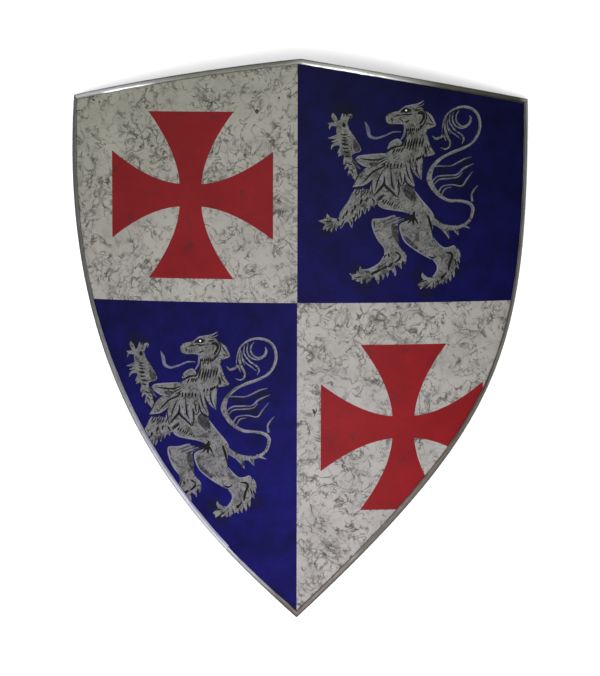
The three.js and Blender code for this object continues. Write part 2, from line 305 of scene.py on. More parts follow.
def curve_through(points, per_span, closed=False):
    """A Catmull-Rom curve through points of any number of columns: each span is the cubic
    whose end slopes are half the chord between the neighbours."""
    p = np.asarray(points, float)
    ext = (np.vstack([p[-1:], p, p[:2]]) if closed
           else np.vstack([2 * p[:1] - p[1:2], p, 2 * p[-1:] - p[-2:-1]]))
    a, b, c, d = (ext[k:len(ext) - 3 + k, None, :] for k in range(4))
    t = np.linspace(0, 1, per_span, endpoint=False)[None, :, None]
    spans = (b + (c - a) / 2 * t + (a - 2.5 * b + 2 * c - d / 2) * t**2
             + (1.5 * b - 1.5 * c + d / 2 - a / 2) * t**3)
    path = spans.reshape(-1, p.shape[1])
    return path if closed else np.vstack([path, p[-1:]])


# In units of the drawing: the thinnest that a stroke gets, the width of a hatched dash at its
# tip, and how far a dash strays. Its length varies between the two shares.
THINNEST = 0.15
DASH_TIP = 0.3
DASH_STRAY = 0.35
DASH_SHARES = (0.75, 1.15)


def brush(stroke, per_span=4):
    """A brush stroke's outline: a curve through its places, with its width, the third
    column, set off half to each side."""
    path = curve_through(stroke, per_span)
    along = np.gradient(path[:, :2], axis=0)
    normal = np.stack([-along[:, 1], along[:, 0]], axis=-1)
    normal /= np.maximum(np.linalg.norm(normal, axis=1, keepdims=True), 1e-9)
    side = normal * np.maximum(path[:, 2:3], THINNEST) / 2
    return np.vstack([path[:, :2] + side, (path[:, :2] - side)[::-1]])


def blob(points, per_span=4):
    """A closed smooth outline through its points."""
    return curve_through(points, per_span, closed=True)


def hatch(start, end, dash, width, count, seed):
    """A row of tapered dashes from start to end, each along dash, a little uneven."""
    draw = np.random.default_rng(seed)
    places = np.linspace(start, end, count) + draw.uniform(-DASH_STRAY, DASH_STRAY, (count, 2))
    reach = np.asarray(dash, float) * draw.uniform(*DASH_SHARES, (count, 1))
    return [brush([(*p, width * 0.5), (*(p + r / 2), width), (*(p + r), DASH_TIP)])
            for p, r in zip(places, reach)]


# The lion is drawn about its middle, x right and y up. A blob is a closed outline of (x, y),
# and a stroke a brush path of (x, y, width).
LION_BLOBS = {
    "raised_arm": [(-61, 76), (-56, 75), (-53, 73), (-51, 67), (-47, 61), (-43, 55),
                   (-39.5, 48), (-40.4, 44.5), (-46, 42.8), (-48.4, 40), (-46, 33), (-43.5, 25),
                   (-42.7, 18), (-44.4, 16), (-50, 22), (-51.5, 29), (-54, 35), (-56.5, 41),
                   (-59, 45), (-61, 53), (-63, 61), (-63.5, 70)],
    "head": [(-14.6, 80), (-9.6, 82.8), (-3.4, 84.4), (1, 87.6), (4.1, 89.8), (9.8, 91),
             (16, 90.8), (21, 87.6), (24.6, 83.6), (26.4, 79), (25.6, 72), (25.2, 64), (14, 58),
             (6, 60), (4.9, 63), (4.9, 68), (3.2, 71.4), (-1, 72.2), (-7, 72), (-11.6, 71.6),
             (-14.6, 74.6), (-15.2, 77.6)],
    "ear": [(24.6, 84.4), (29, 81.6), (31.8, 77.2), (34.8, 70.8), (29, 67.8), (25.4, 67),
            (21, 70), (22, 78)],
    "nape": [(23, 67), (25.4, 60), (26.2, 54), (28.2, 48.4), (34, 42.7), (29, 40.2), (23.5, 41.4),
             (19, 50)],
    "chin": [(0.8, 53.4), (-0.8, 55.2), (-3.4, 57.4), (-7, 56.4), (-10.9, 53.8), (-12.6, 50.6),
             (-13.6, 47.2), (-10, 48.4), (-6.4, 50.4), (-3.2, 50.6), (0, 50.8)],
    "neck": [(5.4, 63), (4.8, 58), (3.8, 54.6), (1.6, 50.6), (-3, 49.2), (-8.4, 46.9),
             (-15.6, 42.6), (-21, 40), (-24, 30), (-18, 20), (-4, 22), (12, 30), (22, 38),
             (26, 45), (25.6, 51.3), (25, 60), (15, 64)],
    "torso": [(-31, 4), (-26, 1), (-22, -5.4), (-21.6, -9), (-16.6, -12.2), (-9.8, -13.5),
              (-0.7, -14.9), (8.4, -17.6), (11, -21), (14, -27), (24, -29), (33, -22),
              (32, -16.7), (26, -10.8), (20.2, -3), (14.7, 4.2), (13, 8.7), (9, 17), (-10, 24),
              (-26, 18)],
    "foreleg": [(-46.5, 5), (-40, 4.5), (-34, 3.5), (-29, 2), (-22, -3), (-22, -6), (-26, -9),
                (-33, -11.5), (-40, -15), (-48, -22), (-56, -27), (-62, -30), (-67, -31.5),
                (-72, -30), (-75, -26.5), (-75.5, -22.5), (-72, -20.5), (-67, -21.5),
                (-63.5, -22), (-61, -21), (-59, -15), (-52, -5), (-49, 1)],
    "right_leg": [(10.6, -21.7), (7, -24), (-0.7, -28), (-1, -33), (0.5, -38), (4.2, -45.7),
                  (13.3, -53.2), (22.5, -59), (28, -62.2), (33.7, -64.6), (37.2, -69),
                  (37.8, -73.4), (35.6, -78.4), (32.5, -81.5), (27.5, -81.8), (24, -84),
                  (26, -89), (34.7, -90), (42.5, -86.6), (49, -82.5), (53.6, -77), (56.6, -70),
                  (58.2, -62), (57.4, -57.4), (55.8, -51.5), (53.7, -50), (49.5, -52.2),
                  (44.2, -52.7), (39, -49), (32.6, -43.7), (32.1, -36), (32.6, -28), (31, -20),
                  (22, -14)],
    "left_leg": [(-28, -23), (-24, -22.2), (-17, -21.7), (-9.8, -19.7), (-6.2, -19.4), (-3, -22),
                 (-2.6, -27.6), (-5, -34), (-4, -44), (0, -52), (4, -56), (6, -60.7), (4, -65),
                 (-4, -69), (-10, -73.6), (-16, -77.4), (-22, -79.5), (-31, -81.5),
                 (-38, -83), (-44, -82), (-45.5, -79), (-42, -75.8), (-37, -73.5),
                 (-32, -72.8), (-26, -70.5), (-21, -66.5), (-17, -61), (-16, -57), (-17, -51),
                 (-22, -45), (-26, -37), (-28.5, -29)],
}

LION_STROKES = {
    "raised_toes": [
        [(-62.4, 73.4, 2.8), (-64.8, 76.8, 4.2), (-66.4, 80, 4.2), (-66.9, 83, 0.8)],
        [(-62, 71.5, 4), (-67, 72, 3.4), (-71.6, 72.6, 0.6)],
        [(-67.5, 71.5, 2.4), (-69.6, 70, 2.2), (-70.5, 66.8, 0.4)],
        [(-58, 74, 5), (-57.6, 78.5, 3.6), (-57.5, 82.6, 0.6)],
        [(-56, 75, 3), (-55.2, 78.5, 2.2), (-54.8, 82, 0.5)],
        [(-55, 73.5, 4.4), (-52.8, 77.5, 3.2), (-51, 80.6, 3), (-48.7, 80.2, 2),
         (-49.4, 77.3, 0.5)],
    ],
    "arm_fringe": [
        [(-62, 60, 4), (-66.5, 58.8, 2.8), (-71.6, 58, 0.4)],
        [(-62, 56.5, 3), (-65.5, 55.2, 2), (-68.5, 54.3, 0.4)],
        [(-60, 53, 4), (-65, 52, 2.8), (-67.6, 49.8, 1.8), (-68.5, 46.8, 0.4)],
        [(-59, 47, 4), (-60.5, 45, 2.6), (-62.2, 42.8, 0.4)],
        [(-58, 43.5, 4), (-60, 41.6, 2.4), (-61.6, 39.8, 0.4)],
        [(-54, 38, 4), (-55.5, 34.5, 2.6), (-56.2, 31.6, 0.4)],
        [(-52.5, 32, 4), (-54.2, 29.5, 2.4), (-55.2, 26.8, 0.4)],
        [(-49.5, 26, 4), (-51, 23.4, 2.4), (-51.9, 20.8, 0.4)],
        [(-45, 21, 5), (-44.4, 17.5, 3), (-44, 14.4, 0.4)],
    ],
    "face": [
        [(10, 90.2, 2.4), (16, 91.5, 1.9), (22.5, 95, 0.5)],
        [(16, 88.6, 2.4), (20, 90, 1.5), (22.7, 92.3, 0.4)],
        [(25.6, 82.6, 2.4), (28.4, 79.4, 4.8), (31, 75, 4.6), (34.7, 70.8, 0.5)],
        [(22.6, 68.8, 3.6), (27, 69.6, 4), (31, 70.6, 2.6), (34.7, 70.8, 0.4)],
        [(24, 60, 4), (25.6, 54, 4.6), (28, 47.6, 4.6), (34, 42.6, 0.5)],
        [(20, 40.6, 3), (27, 41.6, 3.6), (33.8, 42.8, 0.4)],
        [(-13.4, 81.6, 0.4), (-8, 82.6, 2.4), (-2, 84, 2)],
    ],
    "mane": [
        [(-12, 39, 9), (-24, 35.6, 13), (-34, 36, 11.5), (-41, 37.2, 6.5), (-45, 37.4, 0.8)],
        [(-20, 29, 13), (-29, 24, 13.5), (-37, 18, 11), (-43, 12.5, 5.6), (-47.4, 9.6, 0.6)],
        [(-18, 28, 12), (-21.5, 18, 12), (-24.2, 9, 7.4), (-26.9, 0.6, 0.5)],
        [(-9, 28, 12), (-9.2, 18, 13), (-7, 8.5, 8.4), (-3.4, -0.9, 0.5)],
        [(0, 28, 9), (0.1, 19, 6), (0.6, 11.4, 0.8)],
        [(4, 33, 7), (6, 24, 7.4), (9.5, 16.5, 5.8), (13.8, 10, 0.5)],
        [(15.5, 40, 13), (15.6, 31, 11.5), (17.6, 23, 7.4), (20.6, 16.5, 0.5)],
    ],
    "foreleg_claws": [
        [(-70, -22.5, 4), (-71.6, -20, 3), (-72.2, -17, 0.4)],
        [(-72, -25, 4.6), (-76, -24.6, 3.8), (-80.4, -24.4, 0.4)],
        [(-71, -28, 4.6), (-74, -30.5, 3.4), (-76.5, -33.4, 0.4)],
        [(-68, -29, 4), (-68.2, -32.5, 3), (-68, -35.6, 0.4)],
        [(-71, -29, 3), (-72, -32, 2.4), (-72.6, -34.4, 0.4)],
        [(-63.5, -28, 4), (-63.6, -31.4, 2.8), (-63.5, -34.6, 0.4)],
    ],
    "foreleg_fringe": [
        [(-57, -26, 4), (-58, -29, 2.6), (-59, -32.4, 0.4)],
        [(-51, -21, 5.4), (-49, -26, 4.4), (-48, -31.6, 0.6)],
        [(-45, -17, 4.4), (-44.2, -21, 2.6), (-45, -25, 0.4)],
        [(-41, -14, 4.6), (-40.6, -18, 3.2), (-41.2, -22, 0.4)],
        [(-36, -11, 4.6), (-35.6, -14.6, 2.6), (-35.6, -18, 0.4)],
        [(-32, -9, 4.6), (-31.6, -12, 2.4), (-31.8, -14.8, 0.4)],
        [(-27, -7, 4.4), (-26.6, -9.4, 2.4), (-26.4, -11.4, 0.4)],
    ],
    "right_paw": [
        [(30, -85, 4.6), (25, -82.6, 4.2), (22.6, -79.6, 3.2), (22.1, -76.6, 0.5)],
        [(30, -86.5, 5), (24, -87, 6), (19.6, -88.6, 4), (17.9, -88, 0.8)],
        [(24, -88, 5), (21.4, -90.6, 3.6), (20.4, -93.6, 0.4)],
        [(31, -87, 4.6), (28, -90, 3.6), (26, -92.6, 0.6)],
        [(33, -87, 4), (32, -90, 3.4), (31, -93, 0.4)],
        [(36, -86, 4), (35.2, -89, 3), (34.7, -92.2, 0.4)],
        [(41, -84.6, 4), (42.4, -86.4, 2.6), (43, -88.8, 0.4)],
        [(45.6, -83, 4), (46.2, -85, 2.4), (46.6, -87.8, 0.4)],
        [(49.4, -80, 4), (50.4, -83, 2.6), (50.8, -86.2, 0.4)],
        [(53, -75, 4), (54, -78.6, 2.6), (54.2, -82, 0.4)],
        [(55.6, -68, 4), (57.8, -70.6, 2.4), (59, -73.6, 0.4)],
        [(57, -60, 4), (59, -64, 2.4), (60.2, -67.6, 0.4)],
        [(56.5, -54, 4), (59.4, -58, 2.6), (60.8, -62.6, 0.4)],
    ],
    "left_paw": [
        [(-36, -75.6, 5), (-39, -73.8, 4), (-39.8, -69.9, 0.5)],
        [(-39, -76.4, 3.6), (-42, -76, 3), (-42.8, -74.4, 0.8)],
        [(-38, -79.6, 5), (-44, -80, 4.2), (-47.6, -78.4, 2.6), (-50.4, -77, 0.4)],
        [(-42, -80.4, 4.6), (-46, -81, 4), (-47, -83.4, 1)],
        [(-38, -81, 4.6), (-41, -83.6, 3.2), (-44.2, -84, 0.6)],
        [(-37, -81, 4.4), (-38, -84.4, 3), (-38.6, -87.4, 0.4)],
        [(-32, -80, 4.6), (-32.6, -83.6, 3.2), (-33.2, -86.8, 0.6)],
        [(-29, -79, 4), (-30, -83, 2.2), (-31, -85.6, 0.4)],
        [(-24, -78, 4.6), (-22.6, -82.6, 3.8), (-21.9, -87.6, 0.5)],
        [(-18, -76, 4.4), (-17, -80, 2.4), (-17.4, -83.4, 0.4)],
        [(-14, -74, 4.4), (-12.8, -78, 2.4), (-12.8, -81.4, 0.4)],
        [(-9, -71, 4), (-7.4, -74, 2), (-7.2, -76.4, 0.4)],
        [(-1.6, -67, 4.4), (0, -70, 2.4), (1.2, -73, 0.4)],
        [(4, -62, 4), (4.6, -65, 2.2), (4.2, -68, 0.4)],
    ],
    "tail": [
        [(24, -15, 4), (32, -23.9, 6.4), (39, -28.8, 6), (45.3, -31.6, 6), (52, -32, 4.6),
         (58, -31.8, 3.4), (65.3, -28.8, 2.8), (71, -23.5, 3), (73.5, -14.3, 3.4),
         (71.6, -9.5, 3.2), (66.3, -6.4, 3), (57.9, -5, 2.9), (49.5, -4.8, 3), (42, -1.6, 3.2),
         (36.8, 2.6, 4), (32.6, 7.8, 4.6), (28.5, 16.8, 5.8), (29.3, 23.1, 4.8),
         (32, 29.4, 3.8), (39, 36.8, 3), (48.4, 42, 2.8), (62, 47.3, 2.8), (71.6, 52.6, 2.8),
         (77.9, 61, 2.8), (80.2, 70.5, 2.8), (78.4, 80, 2.8), (72.6, 86.3, 2.8),
         (64.2, 88.9, 2.6), (55.8, 87.8, 2.2), (48.4, 83.6, 1.8), (44.2, 78.4, 1.6),
         (42, 71.5, 1.2), (40.8, 63, 0.5)],
        [(58.4, 85.2, 0.6), (55.3, 80, 1.5), (56.3, 73.6, 1.7), (62, 69.4, 1.9),
         (68.4, 71.5, 2.5), (70.5, 76.8, 2.3), (69.5, 80.4, 0.6)],
        [(52.5, 84, 0.6), (51.6, 76.3, 1.4), (54.6, 70.2, 1.5), (61.2, 67.6, 1.4),
         (67, 69, 0.6)],
        [(49.2, 82, 0.6), (48.6, 74, 1.4), (54, 66, 1.6), (60.4, 61.6, 1.7), (63.4, 57.2, 1.9),
         (61.7, 52, 0.5)],
        [(46, 71, 0.6), (50, 64.6, 1.2), (56, 60.2, 1.2), (60.6, 56.4, 0.5)],
        [(45.4, 78, 0.6), (44, 69, 2), (45.8, 61.3, 2.6), (49.4, 53.8, 2), (48.4, 48.8, 1.6),
         (44.2, 46.8, 1.2), (39.6, 48.4, 0.4)],
        [(46.6, 76, 0.4), (46.8, 68, 1.2), (49.4, 62, 0.4)],
        [(31, 60.5, 0.5), (34.7, 57.3, 2.4), (40, 58.9, 2.3), (42.6, 61, 2.6), (45.3, 54.5, 0.4)],
    ],
    "tail_spikes": [
        [(41, -29.5, 6), (46, -36, 4.4), (49, -42.9, 0.5)],
        [(53.4, -31, 6), (56.6, -35.4, 4), (58.5, -39.7, 0.5)],
        [(61, -29.4, 3), (66, -31, 2.2), (70.7, -32.9, 0.4)],
    ],
}

LION_FADED = {
    "tongue": [
        [(2.9, 71.8, 0.8), (3.8, 66.8, 1.9), (2.8, 61.4, 2), (-0.5, 55.8, 0.9)],
        [(0, 64.2, 0.8), (-8, 64, 1.5), (-16, 60.5, 1.8), (-24, 58, 2.2), (-28, 58.5, 2.6),
         (-31.5, 61, 3.2), (-33, 68, 3.6), (-35.6, 74.4, 0.5)],
    ],
    "flames": [
        [(31.6, 28.4, 1), (36.8, 30, 1.1), (49.5, 30, 1.1), (57.9, 33.6, 1.5), (64.2, 36.8, 1.5),
         (71.8, 38.9, 0.4)],
        [(29.8, 12.8, 1), (36.7, 19.4, 1.4), (46.7, 20.5, 1.4), (56.7, 21.3, 1.5),
         (63.3, 27.2, 1.9), (74.4, 32.4, 0.4)],
        [(32.6, 11, 0.6), (38.4, 16.4, 1.2), (48, 17.4, 1.2), (57.4, 18.8, 1.3),
         (62.4, 23.4, 0.5)],
        [(37.5, 2.8, 1.6), (41.7, 9.4, 1.3), (51.7, 11.2, 1.1), (61.7, 9.9, 1.2),
         (66.7, 16.3, 1.5), (73, 24.4, 0.4)],
        [(41, 1, 1), (44.6, 7, 1.2), (51, 8.8, 0.5)],
        [(73, -6, 2.4), (72, 0.6, 1.7), (74.4, 5.6, 1.7), (78.6, 10.4, 0.4)],
    ],
    "leg": [
        [(-6, -70.6, 1), (-5.6, -74, 2.2), (-5.2, -78, 2.2), (-5.2, -80, 0.4)],
        [(-12, -24.6, 0.5), (-6, -22.6, 1.3), (1, -20.4, 0.4)],
        [(-10, -27, 0.5), (-3, -24.4, 1.3), (5, -21.6, 0.4)],
        [(33, -24, 1), (38, -29.6, 2), (44, -33.4, 0.6)],
    ],
}

# Grey washes over the silver, and pale lines along its edges.
LION_SHADE = {
    "arm": [
        [(-46.6, 55, 2), (-44, 49.6, 6.4), (-42.6, 44.6, 5)],
        [(-48, 37, 1.4), (-44.6, 32, 3.6), (-40, 27.4, 1.4)],
    ],
    "waist": [[(4, 11, 5), (7.4, 6.6, 11.4), (10.2, 1.4, 10), (12.6, -4, 4)]],
    "thighs": [
        [(3, -40, 2), (6, -43.6, 5), (11, -48.6, 5.2), (17.4, -52.4, 2)],
        [(-7.4, -27, 2), (-6, -32, 6.4), (-4.8, -38, 6.2), (-3.2, -44, 3.4), (-2, -48, 1)],
        [(-17, -25.4, 0.5), (-11, -23, 1.4), (-4, -20.6, 0.5)],
        [(-15, -27.6, 0.5), (-8, -25, 1.5), (0, -22, 0.5)],
        [(-10, -29.6, 0.5), (-4, -27, 1.5), (4, -23.4, 0.5)],
    ],
    "feet": [
        [(-35, -74.6, 1), (-32.4, -75.4, 3), (-29.6, -76, 1)],
        [(-24, -71.6, 0.6), (-18, -69, 1.8), (-13, -65, 0.6)],
    ],
    "chest": [
        [(-32, 33, 1), (-27, 32, 5), (-22, 32.6, 2)],
        [(-17, 14, 2), (-14.6, 9, 2.4), (-10, 4.6, 0.6)],
        [(23.6, 50, 1), (24.8, 45, 3), (23.4, 41.6, 1)],
    ],
    "foreleg": [[(-24, -4, 1.6), (-20, -1, 3.6), (-16.4, 2, 1.6)]],
}

LION_EDGES = {
    "belly": [[(-22.4, -6, 0.6), (-21.4, -9, 1.4), (-16.6, -11.7, 1.5), (-9.8, -13, 1.5),
               (-0.7, -14.4, 1.3), (5, -15.6, 0.5)]],
    "back": [[(14.2, 5, 0.6), (17.4, 0.2, 1.3), (22.6, -6.4, 1.5), (29, -13.8, 1.8),
              (32, -18, 0.8)]],
    "left_thigh": [
        [(-28, -23.6, 0.8), (-27.8, -29, 1.5), (-25.4, -37, 1.5), (-21.4, -44.4, 1.4),
         (-16.6, -50.4, 0.8)],
        [(-27, -22.9, 0.8), (-17, -22.3, 1.3), (-9.8, -20.1, 1.1), (-5.6, -19, 0.5)],
        [(-16.6, -60, 0.8), (-20.6, -66.4, 1.4), (-25.8, -70.3, 1.5), (-32, -72.9, 1.2),
         (-37, -73.4, 0.6)],
    ],
    "right_thigh": [
        [(-0.2, -29, 0.8), (-0.5, -33, 1.4), (1, -38, 1.4), (4.6, -45.4, 1.2),
         (13.4, -52.8, 1.2), (22.5, -58.5, 1.2), (28, -61.8, 0.6)],
        [(33.4, -64.8, 0.6), (36.8, -69, 1.2), (37.3, -73.4, 1.4), (35.2, -78, 1.3),
         (32.4, -81.2, 0.6)],
        [(32.8, -42, 0.8), (38.6, -48.6, 1.3), (44, -52.3, 1.3), (49.5, -51.8, 1.2),
         (53.7, -50.3, 1.2), (55.6, -52, 0.6)],
    ],
    "mane": [
        [(-25.6, 2.6, 0.6), (-21.2, 8, 2.4), (-18.2, 14, 2), (-17.6, 19, 0.8)],
        [(-5, 2.4, 0.6), (-4.8, 9, 2), (-6, 16, 1.8), (-6.4, 22, 0.6)],
        [(-14.2, 18, 0.6), (-13.6, 13.6, 1.6), (-11, 9, 0.6)],
        [(-46, 10.4, 0.6), (-37.4, 11.6, 1.4), (-31, 15.4, 1.2), (-28.6, 18, 0.5)],
        [(-43.6, 36, 0.6), (-41, 33.6, 1.5), (-35.6, 30.4, 1.4), (-30, 29.4, 0.5)],
        [(-44, 38.4, 0.6), (-41, 40, 1.5), (-30, 41.4, 1.5), (-18, 42.6, 0.8)],
        [(12.6, 11, 0.6), (9.6, 15.6, 1.6), (8.4, 22, 1.4), (7.6, 29, 0.6)],
        [(19.4, 18, 0.6), (18, 25, 2), (18.6, 33, 1.8), (19.6, 38, 0.6)],
    ],
    "head": [[(-3.4, 84, 0.4), (1, 87.2, 1), (4.1, 89.4, 1.1), (9.8, 90.6, 1), (16, 91.2, 1.2),
              (22.4, 95, 0.5)],
             [(27, 82.6, 0.6), (29.6, 78.6, 1.4), (33.4, 72.6, 0.6)],
             [(-12, 51.4, 0.6), (-9.6, 54.2, 1.2), (-3.4, 56.8, 1.4), (0.4, 53.6, 0.8)],
             [(-7, 72.3, 0.5), (-1, 72.6, 1.1), (3, 71.8, 0.6)]],
    "tail": [[(33, 30, 0.6), (48.4, 42.8, 1.2), (62, 48, 1.2), (72.4, 53, 1.2), (78.6, 61, 1.2),
              (81, 70.5, 1.2), (79, 80.4, 1.2), (72.8, 87, 1.2), (64.2, 89.6, 1.1),
              (55.8, 88.4, 0.8)],
             [(72, -23.5, 0.8), (74.4, -14.3, 1.2), (72.4, -8.8, 1.2), (66.3, -5.6, 1),
              (49.5, -4, 1.1), (42, -0.6, 0.9)]],
}

